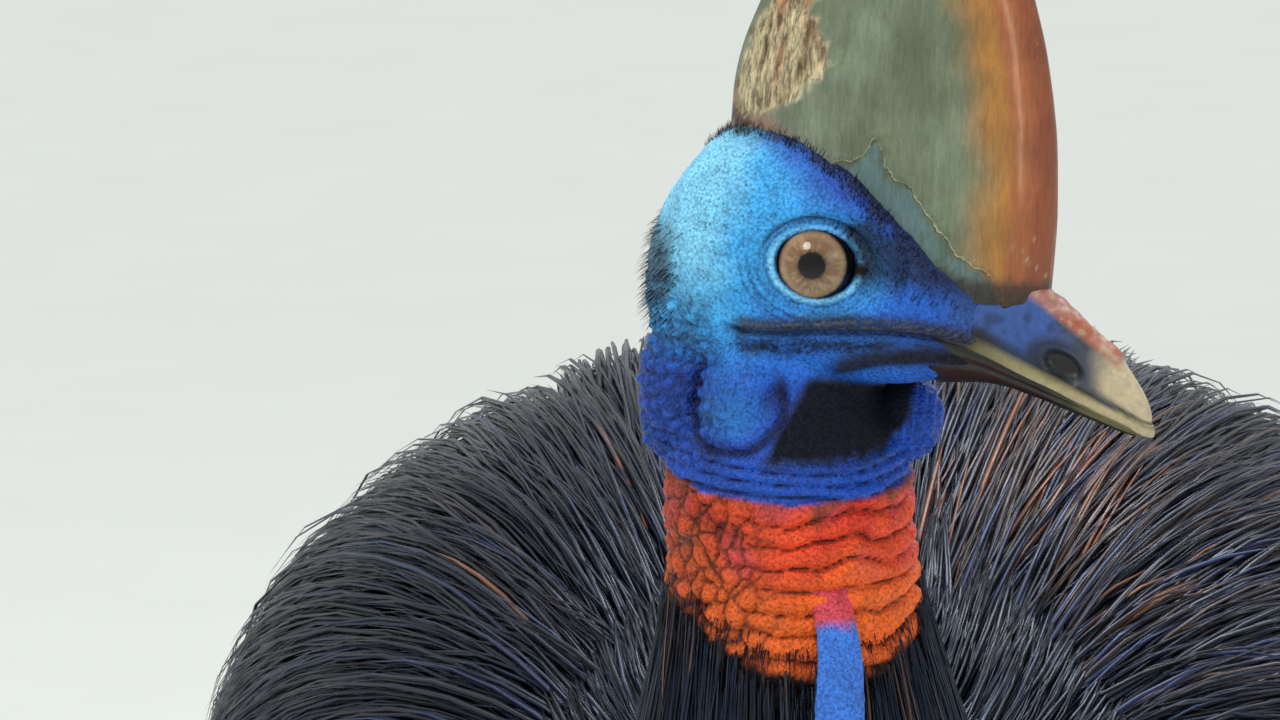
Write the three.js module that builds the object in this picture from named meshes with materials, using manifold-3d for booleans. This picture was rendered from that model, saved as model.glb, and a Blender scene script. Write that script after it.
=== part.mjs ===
// A single-wattled cassowary, life-size, standing still with its neck drawn back in a curve and
// its head turned to its left. Millimetres: +X is the bird's left, -Y is the way its body faces,
// +Z is up, and the soles stand at Z = 0. The whole bird is moved at the end, so that the origin
// lies on the floor under the middle of its outline.
import * as THREE from "three";
import { mergeVertices } from "three/addons/utils/BufferGeometryUtils.js";
import Module from "manifold-3d";

const wasm = await Module();
wasm.setup();

// Driving sizes of the stance
const BACK_HEIGHT = 986;
const EYE_HEIGHT = 1100;
const NECK_FORWARD = 430;
const HEAD_SIDE = 15;
const HEAD_TURN = 70;
const HEAD_DIP = 5;
const STANCE_WIDTH = 190;
const STANCE_Y = 97;
const GAP = 0.3;
const HALF_GAP = GAP / 2;
const WELD = 1e-3;
const GROWN_SHARE = 0.8;
const QUARTER_TURN = Math.PI / 2;
const SIDES = { left: 1, right: -1 };

const vec = (x, y, z) => new THREE.Vector3(x, y, z);
const radians = THREE.MathUtils.degToRad;
const clamp = THREE.MathUtils.clamp;
const power = (value, exponent) => Math.sign(value) * Math.abs(value) ** exponent;

// The columns of a table at a place between its rows, on smooth curves through them.
function between(rows, place) {
  let i = 0;
  while (i < rows.length - 2 && place > rows[i + 1][0]) i++;
  const a = rows[i];
  const b = rows[i + 1];
  const before = rows[Math.max(i - 1, 0)];
  const after = rows[Math.min(i + 2, rows.length - 1)];
  const span = b[0] - a[0];
  const s = clamp((place - a[0]) / span, 0, 1);
  return a.slice(1).map((value, column) => {
    const next = b[column + 1];
    const into = (span * (next - before[column + 1])) / (b[0] - before[0]);
    const out = (span * (after[column + 1] - value)) / (after[0] - a[0]);
    const ease = s * s * (3 - 2 * s);
    return (
      value + (next - value) * ease + into * s * (1 - s) ** 2 - out * s * s * (1 - s)
    );
  });
}

// Closed meshes and the cuts and joins between them
function solidOf(geometry) {
  const bare = new THREE.BufferGeometry();
  bare.setAttribute("position", geometry.getAttribute("position"));
  bare.setIndex(geometry.index);
  const merged = mergeVertices(bare, WELD);
  const vertProperties = merged.getAttribute("position").array;
  const triVerts = new Uint32Array(merged.index.array);
  const made = new wasm.Manifold(new wasm.Mesh({ numProp: 3, vertProperties, triVerts }));
  if (made.volume() > 0) return made;
  for (let i = 0; i < triVerts.length; i += 3) triVerts.subarray(i, i + 3).reverse();
  return new wasm.Manifold(new wasm.Mesh({ numProp: 3, vertProperties, triVerts }));
}

function geometryOf(solid) {
  const mesh = solid.getMesh();
  const geometry = new THREE.BufferGeometry();
  geometry.setAttribute("position", new THREE.BufferAttribute(mesh.vertProperties, 3));
  geometry.setIndex(new THREE.BufferAttribute(mesh.triVerts, 1));
  return geometry;
}

// One closed body through rings of points, each end closed by a flat fan.
function loft(rings) {
  const count = rings[0].length;
  const last = rings.length - 1;
  const faces = [];
  for (let r = 0; r < last; r++) {
    for (let k = 0; k < count; k++) {
      const [a, b] = [r * count + k, r * count + ((k + 1) % count)];
      faces.push(a, b, a + count, b, b + count, a + count);
    }
  }
  for (let k = 1; k < count - 1; k++) {
    faces.push(k + 1, k, 0);
    faces.push(last * count, last * count + k, last * count + k + 1);
  }
  const geometry = new THREE.BufferGeometry().setFromPoints(rings.flat());
  geometry.setIndex(faces);
  return solidOf(geometry);
}

const ringOf = (count, at) => Array.from({ length: count }, (_, k) => at((2 * Math.PI * k) / count));
const steps = (count, at) => Array.from({ length: count }, (_, k) => at(k / (count - 1)));
const join = (...solids) => wasm.Manifold.union(solids.flat(3));
const cut = (solid, ...tools) => solid.subtract(join(tools));

// The side of a plane that its normal points to, short of the plane by half a gap. A grown solid
// keeps most of its growth here, so that its cut lies in no other face.
function beyond(solid, point, normal, grow = 0) {
  const n = normal.clone().normalize();
  return solid.trimByPlane(n.toArray(), n.dot(point) + HALF_GAP - GROWN_SHARE * grow);
}

// The largest closed surface of a solid, without loose scraps or sealed hollows.
function whole(solid) {
  return solid.decompose().reduce((best, piece) => (piece.volume() > best.volume() ? piece : best));
}

// A ball of three radii, turned and moved by a matrix.
function ball(radii, matrix, segments = 16) {
  const geometry = new THREE.SphereGeometry(1, segments, Math.round(segments * 0.7));
  geometry.scale(...radii);
  return solidOf(geometry.applyMatrix4(matrix));
}

// A point beside a curve. Angle 0 faces the front of a curve that hangs down.
function beside(curve, t, angle, radius) {
  const ahead = curve.getTangentAt(t);
  const side = vec(1, 0, 0).addScaledVector(ahead, -ahead.x).normalize();
  return curve
    .getPointAt(t)
    .addScaledVector(ahead.clone().cross(side), radius * Math.cos(angle))
    .addScaledVector(side, radius * Math.sin(angle));
}

// A tube along a curve, whose radius is shape(t, angle).
function tube(curve, rings, sides, shape, from = 0, to = 1) {
  return loft(
    steps(rings, (s) => {
      const t = from + (to - from) * s;
      return ringOf(sides, (angle) => beside(curve, t, angle, shape(t, angle)));
    }),
  );
}

// Coat: flat locks that taper to a point. Each starts sunk in the core, lies back along a surface
// and droops, and its tip stands clear of the lock beneath. A surface takes a place along, a place
// around and a height over the tips of the coat.
const LOCK_WIDTHS = [0.6, 1, 0.84, 0.1];
const LOCK_SUNK = 11;
const LOCK_RISE = 1.35;
const LOCK_SPREAD = 1.08;
const LOCK_LEAST = 0.25;
const LOCK_CLEAR = { edge: 1.2, face: 0.5 };
const DOWN = vec(0, 0, -1);
let seed = 26;
function draw(low, high) {
  seed = (seed * 16807) % 2147483647;
  return low + ((high - low) * seed) / 2147483647;
}
function tangents(surface, u, v) {
  const step = 1e-3;
  const point = surface(u, v, 0);
  const along = surface(u + step, v, 0).sub(point).divideScalar(step);
  const around = surface(u, v + step, 0).sub(point).divideScalar(step);
  const out = along.clone().cross(around).normalize();
  const raised = surface(u, v, 1).sub(point);
  return { along, around, out: out.multiplyScalar(Math.sign(out.dot(raised))) };
}
function lock(surface, plan, clear = false) {
  const { place, length, width, thick, depth, droop, lift, share: turn, sag = 0 } = plan;
  const reach = length / (LOCK_WIDTHS.length - 1);
  let [u, v] = place;
  return loft(
    LOCK_WIDTHS.map((share, ring) => {
      const s = ring / (LOCK_WIDTHS.length - 1);
      const { along, around, out } = tangents(surface, u, v);
      const way = along.clone().normalize().addScaledVector(DOWN, droop);
      way.addScaledVector(out, -way.dot(out)).normalize();
      const side = out.clone().cross(way);
      const height = lift * Math.min(1, 3 * s) - (depth + LOCK_SUNK) * (1 - s) ** LOCK_RISE;
      const centre = surface(u, v, height).addScaledVector(DOWN, sag * s * s);
      const half = (width / 2) * share * clamp((2 * turn * around.length()) / width, LOCK_LEAST, 1);
      const ridge = thick * share ** 0.5;
      const section = [
        [half, 0],
        [0, ridge],
        [-half, 0],
      ];
      const { edge, face } = LOCK_CLEAR;
      const room = [
        [half + edge, -face],
        [half + edge, face],
        [0, ridge + face],
        [-half - edge, face],
        [-half - edge, -face],
      ];
      const [aa, ab, bb] = [along.dot(along), along.dot(around), around.dot(around)];
      const [a, b] = [way.dot(along), way.dot(around)];
      const area = Math.max(aa * bb - ab * ab, 1);
      u += (reach * (a * bb - b * ab)) / area;
      v += clamp((reach * (b * aa - a * ab)) / area, -0.6, 0.6);
      return (clear ? room : section).map(([across, up]) =>
        centre.clone().addScaledVector(side, across).addScaledVector(out, up - ridge / 2),
      );
    }),
  );
}

// Rows of locks round a surface, each row set between the locks of the row before.
function rowsOf(rows, common) {
  return rows.flatMap(({ u, count, from = 0, to = 2 * Math.PI, ...own }, row) =>
    Array.from({ length: count }, (_, k) => ({
      ...common,
      ...own,
      place: [
        u + draw(-0.06, 0.06) * (common.stagger ?? 1),
        from + ((k + (row % 2) / 2 + draw(-0.14, 0.14)) * (to - from)) / count,
      ],
      share: (LOCK_SPREAD * (to - from)) / (2 * count),
      length: (own.length ?? common.length) * draw(0.92, 1.08),
      lift: (k % 2 ? 0.5 : -0.5) * common.layer + draw(-0.5, 0.5),
    })),
  );
}
const coat = (surface, plans, clear) => plans.map((plan) => lock(surface, plan, clear));

// Head: its own directions are forward along the bill, left and up, from between the eyes.
const turn = radians(HEAD_TURN);
const dip = radians(HEAD_DIP);
const FORWARD = vec(
  Math.cos(dip) * Math.sin(turn),
  -Math.cos(dip) * Math.cos(turn),
  -Math.sin(dip),
);
const UP = vec(Math.sin(dip) * Math.sin(turn), -Math.sin(dip) * Math.cos(turn), Math.cos(dip));
const LEFT = UP.clone().cross(FORWARD);
const HEAD = vec(HEAD_SIDE, -NECK_FORWARD, EYE_HEIGHT);
const onHead = (f, l, u) =>
  HEAD.clone().addScaledVector(FORWARD, f).addScaledVector(LEFT, l).addScaledVector(UP, u);
const headMatrix = (f, l, u, turned = new THREE.Matrix4()) =>
  new THREE.Matrix4().makeBasis(FORWARD, LEFT, UP).setPosition(onHead(f, l, u)).multiply(turned);

// Skull with its skin: forward, top, bottom, half width
const SKULL = [
  [-69, -2, -28, 8],
  [-62, 14, -42, 20],
  [-46, 34, -56, 30],
  [-22, 42, -62, 33],
  [2, 37, -58, 31.5],
  [22, 26, -48, 27],
  [38, 13, -38, 20.5],
  [50, 5, -35, 14],
];
function skull(grow = 0) {
  const [back, front] = [SKULL[0][0], SKULL.at(-1)[0]];
  return loft(
    steps(13, (s) => {
      const f = back + (front - back) * s;
      const [top, bottom, half] = between(SKULL, f);
      const middle = (top + bottom) / 2;
      const tall = (top - bottom) / 2 + grow;
      const reach = f + (s === 0 ? -grow : 0) + (s === 1 ? grow : 0);
      return ringOf(18, (a) =>
        onHead(
          reach,
          (half + grow) * power(Math.sin(a), 0.92),
          middle + tall * power(Math.cos(a), 0.92),
        ),
      );
    }),
  );
}

// Loose cheek pouches below the corners of the mouth
const JOWL = { forward: -6, side: 17, up: -42, radii: [30, 22, 21] };
const jowl = (sign) =>
  ball(JOWL.radii, headMatrix(JOWL.forward, sign * JOWL.side, JOWL.up), 12);

// Eyeballs look out, a little forward and up, through ringed lids
const EYE = { forward: -6, side: 17.5, up: -1.5, radius: 16, lid: 12.8, lidTube: 2.3, lidOut: 10.8 };
const eyeMatrix = (sign, out = 0) =>
  headMatrix(
    EYE.forward,
    sign * EYE.side,
    EYE.up,
    new THREE.Matrix4()
      .makeRotationX(sign * radians(-90 + 5))
      .premultiply(new THREE.Matrix4().makeRotationZ(sign * radians(-20)))
      .multiply(new THREE.Matrix4().makeTranslation(0, 0, out)),
  );
const eyeball = (sign, grow = 0) => {
  const r = EYE.radius + grow;
  return ball([r, r, r], eyeMatrix(sign), 12);
};
function lid(sign) {
  const ring = new THREE.TorusGeometry(EYE.lid, EYE.lidTube, 5, 16);
  ring.scale(1.06, 0.88, 1.2);
  return solidOf(ring.applyMatrix4(eyeMatrix(sign, EYE.lidOut)));
}

// The mouth runs back under the eye from the bill: forward, up
const MOUTH = [
  [-21, -22.8],
  [2, -20],
  [25, -18.5],
  [40, -20],
];
function mouthSlit(sign) {
  const slit = { inner: 5, outer: 12, half: 0.7 };
  return loft(
    steps(6, (s) => {
      const f = MOUTH[0][0] + (MOUTH.at(-1)[0] - MOUTH[0][0]) * s;
      const [up] = between(MOUTH, f);
      const half = between(SKULL, f)[2];
      return [
        [-slit.inner, -slit.half],
        [slit.outer, -slit.half],
        [slit.outer, slit.half],
        [-slit.inner, slit.half],
      ].map(([out, high]) => onHead(f, sign * (half + out), up + high));
    }),
  );
}
const EAR = { forward: -47, side: 30, up: -14, radii: [4.5, 5, 5.5] };
const earPit = (sign) => ball(EAR.radii, headMatrix(EAR.forward, sign * EAR.side, EAR.up), 8);

// Casque: a tall keel on the crown, widest at its foot. Its outline is a front and a back edge.
const CASQUE = { foot: -8, top: 136, peak: 20, front: 67, back: -46, half: 22.5, crest: 6 };
const CASQUE_EDGE = { front: 15, back: 45 };
const rounding = (rise) => (rise ** 1.85 + 1 - Math.sqrt(1 - rise ** 2.1)) / 2;
function casqueRing(up) {
  const rise = (from) => clamp((up - from) / (CASQUE.top - from), 0, 1);
  const edge = (start, from) => start + (CASQUE.peak - start) * 0.985 * rounding(rise(from));
  const front = edge(CASQUE.front, CASQUE_EDGE.front);
  const back = edge(CASQUE.back, CASQUE_EDGE.back);
  const flank = rise(CASQUE_EDGE.front);
  const half = (CASQUE.half + (CASQUE.crest - CASQUE.half) * flank) * Math.sqrt(1 - 0.9 * flank ** 7);
  const [middle, long] = [(front + back) / 2, (front - back) / 2];
  return ringOf(14, (a) => {
    const keel = 1 - 0.3 * Math.max(0, Math.cos(a)) ** 2;
    return onHead(middle + long * Math.cos(a), half * keel * power(Math.sin(a), 0.85), up);
  });
}
const casqueFull = () =>
  loft(
    steps(11, (s) =>
      casqueRing(CASQUE.foot + (CASQUE.top - CASQUE.foot) * Math.sin((s * Math.PI) / 2)),
    ),
  );

// Bill halves: forward, top of the upper half, mouth line, foot of the lower half, half width
const BILL_ROOT = 38;
const BILL = [
  [34, 14, -19, -38, 19],
  [50, 6, -23, -35.5, 15],
  [62, 0, -27.5, -36.5, 12],
  [78, -10, -33, -40, 8.8],
  [92, -19.5, -38, -43, 6.2],
  [100, -28, -41, -44.5, 4.2],
  [104, -34, -43, -45, 2.6],
  [106, -40, -43.5, -45, 1],
];
const UPPER_BILL_TIP = 106;
const LOWER_BILL_TIP = 101;
function billHalf(from, to, rings, top, foot, arched) {
  return loft(
    steps(rings, (s) => {
      const f = from + (to - from) * s;
      const row = between(BILL, f);
      const [high, low, half] = [top(row), foot(row), row[3]];
      return ringOf(12, (a) => {
        const rise = arched ? Math.max(0, Math.cos(a)) : Math.min(1, 1 + Math.cos(a));
        return onHead(f, half * power(Math.sin(a), 0.9), low + (high - low) * rise ** 0.8);
      });
    }),
  );
}
const billUpper = (grow = 0) =>
  billHalf(BILL_ROOT - 4, UPPER_BILL_TIP, 10, (row) => row[0] + grow, (row) => row[1], true);
const billLower = () =>
  billHalf(BILL_ROOT - 4, LOWER_BILL_TIP, 7, (row) => row[1] - GAP, (row) => row[2], false);
const nostril = (sign) =>
  ball(
    [7.5, 3.4, 4.2],
    headMatrix(78, sign * 7.6, -24, new THREE.Matrix4().makeRotationY(radians(28))),
    8,
  );

// Neck: a curve from inside the head down and back into the breast, and its skin's radius
const NECK_PATH = new THREE.CatmullRomCurve3([
  vec(-8, -420, 1085),
  vec(-8, -421, 1040),
  vec(-6, -420, 1000),
  vec(-4, -414, 955),
  vec(-2, -398, 905),
  vec(0, -358, 850),
  vec(0, -290, 812),
  vec(0, -190, 800),
  vec(0, -60, 796),
]);
const NECK = [
  [1085, 33],
  [1040, 39.5],
  [1000, 40.5],
  [955, 43],
  [905, 51],
  [850, 74],
  [812, 112],
  [800, 150],
  [796, 170],
];
const COLLAR_TOP = 1029;
const FEATHER_TOP = 984;
const FOLDS = 7;
const FOLD_DEPTH = 2.2;
const NECK_COAT = { top: 3, foot: 24 };
const neckPlace = (z) => {
  let [low, high] = [0, 1];
  while (high - low > 1e-4) {
    const middle = (low + high) / 2;
    if (NECK_PATH.getPointAt(middle).z > z) low = middle;
    else high = middle;
  }
  return low;
};
const neckRadius = (t) => between(NECK.map(([z, r]) => [-z, r]), -NECK_PATH.getPointAt(t).z)[0];
const neckCoat = (t) => {
  const s = clamp((FEATHER_TOP - NECK_PATH.getPointAt(t).z) / 150, 0, 1);
  return NECK_COAT.top + (NECK_COAT.foot - NECK_COAT.top) * s;
};
function throat() {
  return tube(NECK_PATH, 4, 16, (t) => neckRadius(t), 0, neckPlace(COLLAR_TOP - 3));
}
function bareNeck(grow = 0) {
  const fold = (t) => {
    const place = (COLLAR_TOP - NECK_PATH.getPointAt(t).z) / (COLLAR_TOP - FEATHER_TOP);
    return FOLD_DEPTH * Math.abs(Math.sin(Math.PI * clamp(place, 0, 1) * FOLDS)) ** 0.6;
  };
  const shape = (t) => neckRadius(t) - FOLD_DEPTH / 2 + fold(t) + grow;
  const rings = 2 * FOLDS + 3;
  return tube(NECK_PATH, rings, 16, shape, neckPlace(COLLAR_TOP + 3), neckPlace(FEATHER_TOP - 3));
}
const neckSurface = (t, angle, height) =>
  beside(NECK_PATH, Math.min(t, 1), angle, neckRadius(Math.min(t, 1)) + neckCoat(Math.min(t, 1)) + height);
function neckCore(grow = 0) {
  const shape = (t) => neckRadius(t) + neckCoat(t) / 2 + grow;
  return tube(NECK_PATH, 9, 12, shape, neckPlace(FEATHER_TOP + 5), 0.95);
}
const NECK_LOCK = {
  length: 112,
  width: 40,
  thick: 4,
  depth: 7,
  droop: 0,
  stagger: 0.1,
  layer: 5,
};
const MIDDLE_LOCKS = rowsOf(
  [
    { u: neckPlace(976), count: 7, depth: 1 },
    { u: neckPlace(930), count: 8 },
  ],
  NECK_LOCK,
);
const BASE_LOCKS = rowsOf(
  [
    { u: neckPlace(886), count: 8, length: 165, width: 54 },
    { u: neckPlace(838), count: 9, length: 210, width: 78, thick: 6 },
  ],
  { ...NECK_LOCK, depth: 11 },
);
const atNeck = (t) => [NECK_PATH.getPointAt(t), NECK_PATH.getTangentAt(t)];

// One strap of blue skin hangs from the front of the collar
const WATTLE = { top: 992, length: 82, turn: 21, half: 5.5, swell: 3, thick: 3 };
function wattleFull() {
  const out = vec(Math.sin(radians(WATTLE.turn)), -Math.cos(radians(WATTLE.turn)), 0);
  const side = vec(-out.y, out.x, 0);
  const root = vec(-5.5, -420, WATTLE.top).addScaledVector(out, 33);
  return loft(
    steps(10, (s) => {
      const centre = root
        .clone()
        .addScaledVector(out, 14 * Math.sin(Math.min(1, s * 3) * QUARTER_TURN) + 8 * s)
        .add(vec(0, 0, -WATTLE.length * s));
      const end = Math.sqrt(Math.max(0.02, 1 - Math.max(0, (s - 0.8) / 0.2) ** 2));
      const half = (WATTLE.half + WATTLE.swell * Math.sin(s * 2.6)) * end;
      return ringOf(10, (a) =>
        centre
          .clone()
          .addScaledVector(side, half * Math.sin(a))
          .addScaledVector(out, WATTLE.thick * end * Math.cos(a)),
      );
    }),
  );
}

// Body: an egg that droops behind. along runs from breast to rump and around from the
// back's middle line, and height is measured out from the tips of the coat.
const BODY = {
  centre: vec(0, 60, BACK_HEIGHT - 194),
  half: 263,
  rise: 194,
  depth: 255,
  front: 390,
  back: 430,
  droop: 170,
  coat: 24,
};
function bodyPoint(along, around, height) {
  const reach = (along < Math.PI / 2 ? BODY.front : BODY.back) + height;
  const lengthwise = -Math.cos(along) * reach;
  const ring = Math.sin(along);
  const up = Math.cos(around);
  const tall = (up > 0 ? BODY.rise : BODY.depth) + height;
  const drop = BODY.droop * Math.max(0, lengthwise / BODY.back) ** 2;
  return vec(
    Math.sin(around) * ring * (BODY.half + height),
    lengthwise,
    up * ring * tall - drop,
  ).add(BODY.centre);
}
function bodyCore(grow = 0) {
  const end = 0.1;
  const height = grow - BODY.coat;
  return loft(
    steps(11, (s) => ringOf(14, (a) => bodyPoint(end + (Math.PI - 2 * end) * s, a, height))),
  );
}
const BREAST_Y = -262;
const RUMP_Y = 250;
const ahead = (solid, y, grow) => beyond(solid, vec(0, y, 0), vec(0, -1, 0), grow);
const behind = (solid, y, grow) => beyond(solid, vec(0, y, 0), vec(0, 1, 0), grow);
const BODY_ROWS = { first: 0.62, last: 2.46, count: 7, round: 1540, spacing: 124 };
const BODY_LOCK = {
  width: 114,
  length: 265,
  thick: 7,
  depth: BODY.coat,
  stagger: 0.6,
  layer: 8,
};
const BODY_LOCKS = rowsOf(
  steps(BODY_ROWS.count, (s) => {
    const u = BODY_ROWS.first + (BODY_ROWS.last - BODY_ROWS.first) * s;
    const round = BODY_ROWS.round * Math.sin(u);
    const droop = 0.35 + 0.6 * (u / Math.PI) ** 2;
    const spacing = BODY_ROWS.spacing * (1 + 0.25 * s ** 3);
    return { u, count: Math.round(round / spacing), droop, sag: 70 * s ** 4 };
  }),
  BODY_LOCK,
);
const isRump = ({ place: [u, v] }) => bodyPoint(u, v, 0).y > RUMP_Y;
const RUMP_LOCKS = BODY_LOCKS.filter(isRump);
const TORSO_LOCKS = BODY_LOCKS.filter((plan) => !isRump(plan));

// Legs: feathered thigh, bare shin to the hock, then the long foot bone down to the ball
const legX = (sign) => (sign * STANCE_WIDTH) / 2;
const legPoint = (sign, out, y, z) => vec(legX(sign) + sign * out, STANCE_Y + y, z);
const HOCK = 332;
const thighPath = (sign) =>
  new THREE.CatmullRomCurve3([
    legPoint(sign, 0, -95, 650),
    legPoint(sign, 12, -50, 560),
    legPoint(sign, 7, 10, 480),
    legPoint(sign, 2, 50, 405),
  ]);
const THIGH = [
  [0, 105],
  [0.35, 84],
  [0.7, 55],
  [1, 29],
];
const THIGH_COAT = 13;
const THIGH_TOP = 0.1;
function thighCore(sign, grow = 0) {
  const [path, shape] = [thighPath(sign), (t) => between(THIGH, t)[0] - THIGH_COAT + grow];
  return tube(path, 5, 10, shape, THIGH_TOP - grow / path.getLength(), 1);
}
const thighSurface = (sign) => (t, angle, height) =>
  beside(thighPath(sign), clamp(t, 0, 0.999), sign * angle, between(THIGH, t)[0] + height);
const THIGH_LOCKS = rowsOf(
  [
    { u: 0.47, count: 6, width: 54 },
    { u: 0.68, count: 5, width: 40, length: 105, depth: 7 },
  ],
  { length: 125, thick: 5, depth: THIGH_COAT, droop: 0.2, stagger: 0.3, layer: 5 },
);
const shinPath = (sign) =>
  new THREE.CatmullRomCurve3([
    legPoint(sign, 3, 40, 440),
    legPoint(sign, 1, 66, 375),
    legPoint(sign, 0, 78, HOCK),
    legPoint(sign, 0, 78, HOCK - 14),
  ]);
const SHIN = [
  [0, 20],
  [0.5, 20],
  [0.85, 26],
  [1, 25],
];
const shinFull = (sign, grow = 0) =>
  tube(shinPath(sign), 7, 11, (t) => between(SHIN, t)[0] + grow);
const tarsusPath = (sign) =>
  new THREE.CatmullRomCurve3([
    legPoint(sign, 0, 78, HOCK + 6),
    legPoint(sign, 0, 68, HOCK - 30),
    legPoint(sign, 0, 34, 170),
    legPoint(sign, 0, 6, 60),
    legPoint(sign, 0, 0, 22),
  ]);
const TARSUS = [
  [0, 25],
  [0.14, 21],
  [0.5, 17],
  [0.85, 19],
  [1, 23],
];
const SCUTES = 7;
function tarsusFull(sign, grow = 0) {
  const scute = (t, angle) => {
    const plate = Math.abs(Math.sin(Math.PI * t * SCUTES)) ** 0.5;
    return 1.6 * plate * Math.max(0, Math.cos(angle)) ** 0.5;
  };
  const shank = tube(
    tarsusPath(sign),
    SCUTES * 2 + 1,
    9,
    (t, a) => between(TARSUS, t)[0] + scute(t, a) + grow,
  );
  const pad = { radius: 28 + grow, high: 24 + grow };
  const padBall = ball(
    [pad.radius, pad.radius, pad.high],
    new THREE.Matrix4().setPosition(legPoint(sign, 0, 0, 20)),
    10,
  );
  return whole(join(shank, padBall).trimByPlane([0, 0, 1], 0));
}

// Toes: direction from straight ahead towards the outside, bare length, radii, claw
const TOES = {
  inner: { turn: -27, length: 88, root: 15, tip: 11, claw: 108, clawRadius: 8 },
  middle: { turn: 4, length: 150, root: 18, tip: 12, claw: 44, clawRadius: 8 },
  outer: { turn: 34, length: 108, root: 15, tip: 10.5, claw: 34, clawRadius: 7 },
};
const CLAW_SUNK = 12;
function toeFrame(sign, toe) {
  const angle = sign * radians(toe.turn);
  const ahead = vec(Math.sin(angle), -Math.cos(angle), 0);
  const side = vec(-ahead.y, ahead.x, 0);
  const root = legPoint(sign, 0, 0, 0);
  return (out, across, up) =>
    root.clone().addScaledVector(ahead, out).addScaledVector(side, across).setZ(up);
}
function toeFull(sign, toe, grow = 0) {
  const at = toeFrame(sign, toe);
  const pads = 3;
  return loft(
    steps(7, (s) => {
      const swell = 1 + 0.09 * Math.cos(2 * Math.PI * s * pads);
      const round = s > 0.9 ? 0.78 : 1;
      const r = (toe.root + (toe.tip - toe.root) * s) * swell * round + grow;
      return ringOf(8, (a) =>
        at(toe.length * s + (s === 1 ? grow : 0), r * Math.cos(a), Math.max(0, r * (0.72 + Math.sin(a)))),
      );
    }),
  );
}
function clawFull(sign, toe, grow = 0) {
  const at = toeFrame(sign, toe);
  const lift = { root: toe.clawRadius + 1.6, tip: 2.2 };
  return loft(
    steps(6, (s) => {
      const r = toe.clawRadius * Math.sqrt(1 - 0.92 * s) * (1 - 0.82 * s * s) + grow;
      const high = lift.root + (lift.tip - lift.root) * s + 5 * Math.sin(Math.PI * s);
      const out = toe.length - CLAW_SUNK + (toe.claw + CLAW_SUNK) * s;
      return ringOf(7, (a) => at(out, 0.8 * r * Math.cos(a), high + r * Math.sin(a)));
    }),
  );
}

// Wings: a small arm under the coat that carries a few long bare quills down the flank
const WING = { along: 1.02, around: 1.12, sunk: 20, quills: 5, quill: 2.6, fan: 0.1 };
function wingFull(sign, grow = 0) {
  const arm = steps(5, (s) => {
    const depth = 8 * s - WING.sunk;
    const centre = bodyPoint(WING.along + 0.13 * s, sign * (WING.around + 0.04 * s), depth);
    const r = 7 + 9 * Math.sin(Math.PI * s) + grow;
    return ringOf(8, (a) =>
      centre.clone().add(vec(0.7 * r * Math.cos(a) * sign, 0, r * Math.sin(a))),
    );
  });
  const quills = steps(WING.quills, (q) => {
    const points = steps(6, (s) =>
      bodyPoint(
        WING.along + 0.11 + (0.62 - 0.2 * q) * s,
        sign * (WING.around - 0.04 + WING.fan * q + (0.42 + 0.25 * q) * s * s),
        6 - WING.sunk + 25 * Math.sin(Math.min(1, s * 2.2) * QUARTER_TURN),
      ),
    );
    const curve = new THREE.CatmullRomCurve3(points);
    return tube(curve, 7, 4, (t) => WING.quill * (1 - 0.7 * t) + grow);
  });
  return whole(join(loft(arm), quills));
}

const parts = [];
const skin = { blue: "#1f55b8", red: "#d4491f", feather: "#1b181a", horn: "#6f7350", leg: "#6d6558" };
function node(name, solid, color, roughness = 0.7) {
  parts.push({ name, solid: whole(solid), color, roughness });
}

// Head nodes
const collar = vec(-8, -421, COLLAR_TOP);
const featherEdge = vec(-6, -420, FEATHER_TOP);
const straightUp = vec(0, 0, 1);
const billEdge = onHead(BILL_ROOT, 0, 0);
const both = Object.values(SIDES);
const headSkin = join(skull(), both.map(jowl), throat(), both.map(lid));
const headCuts = [
  ...both.map((sign) => eyeball(sign, GAP)),
  ...both.map(mouthSlit),
  ...both.map(earPit),
];
const headBlock = beyond(beyond(headSkin, collar, straightUp), billEdge, FORWARD.clone().negate());
node("head", cut(headBlock, ...headCuts), skin.blue);
const upperBill = beyond(billUpper(), billEdge, FORWARD);
node("bill_upper", cut(upperBill, both.map(nostril)), "#8a8560", 0.4);
node("bill_lower", beyond(billLower(), billEdge, FORWARD), "#2c2b26", 0.4);
node("casque", cut(casqueFull(), skull(GAP), billUpper(GAP)), skin.horn, 0.35);
for (const [side, sign] of Object.entries(SIDES)) {
  node(`eye_${side}`, eyeball(sign), "#7a5a3c", 0.05);
}

// Neck nodes
const neckMiddleEnd = neckPlace(880);
const [middleFoot, middleAim] = atNeck(neckMiddleEnd);
const collarDown = straightUp.clone().negate();
const bareTop = beyond(bareNeck(), collar, collarDown);
node("neck_upper", beyond(bareTop, featherEdge, straightUp), skin.red);
const neckOf = (core, plans, grow = 0) => join(core, coat(neckSurface, plans, grow > 0));
function feathered(grow = 0) {
  const skirt = ahead(bodyCore(grow), BREAST_Y, grow);
  return beyond(join(neckCore(grow), skirt), featherEdge, collarDown, grow);
}
function middlePart(grow = 0) {
  const core = beyond(feathered(grow), middleFoot, middleAim.clone().negate(), grow);
  return neckOf(core, MIDDLE_LOCKS, grow);
}
function basePart(grow = 0) {
  const core = ahead(beyond(feathered(grow), middleFoot, middleAim, grow), BREAST_Y, grow);
  return neckOf(core, BASE_LOCKS, grow);
}
const middleRoom = middlePart(GAP);
const baseRoom = basePart(GAP);
node("neck_middle", beyond(middlePart(), featherEdge, collarDown), skin.feather);
node("wattle", cut(wattleFull(), bareNeck(GAP), middleRoom), "#3f7fe0");
node("neck_base", cut(basePart(), middleRoom), skin.feather);

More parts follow.
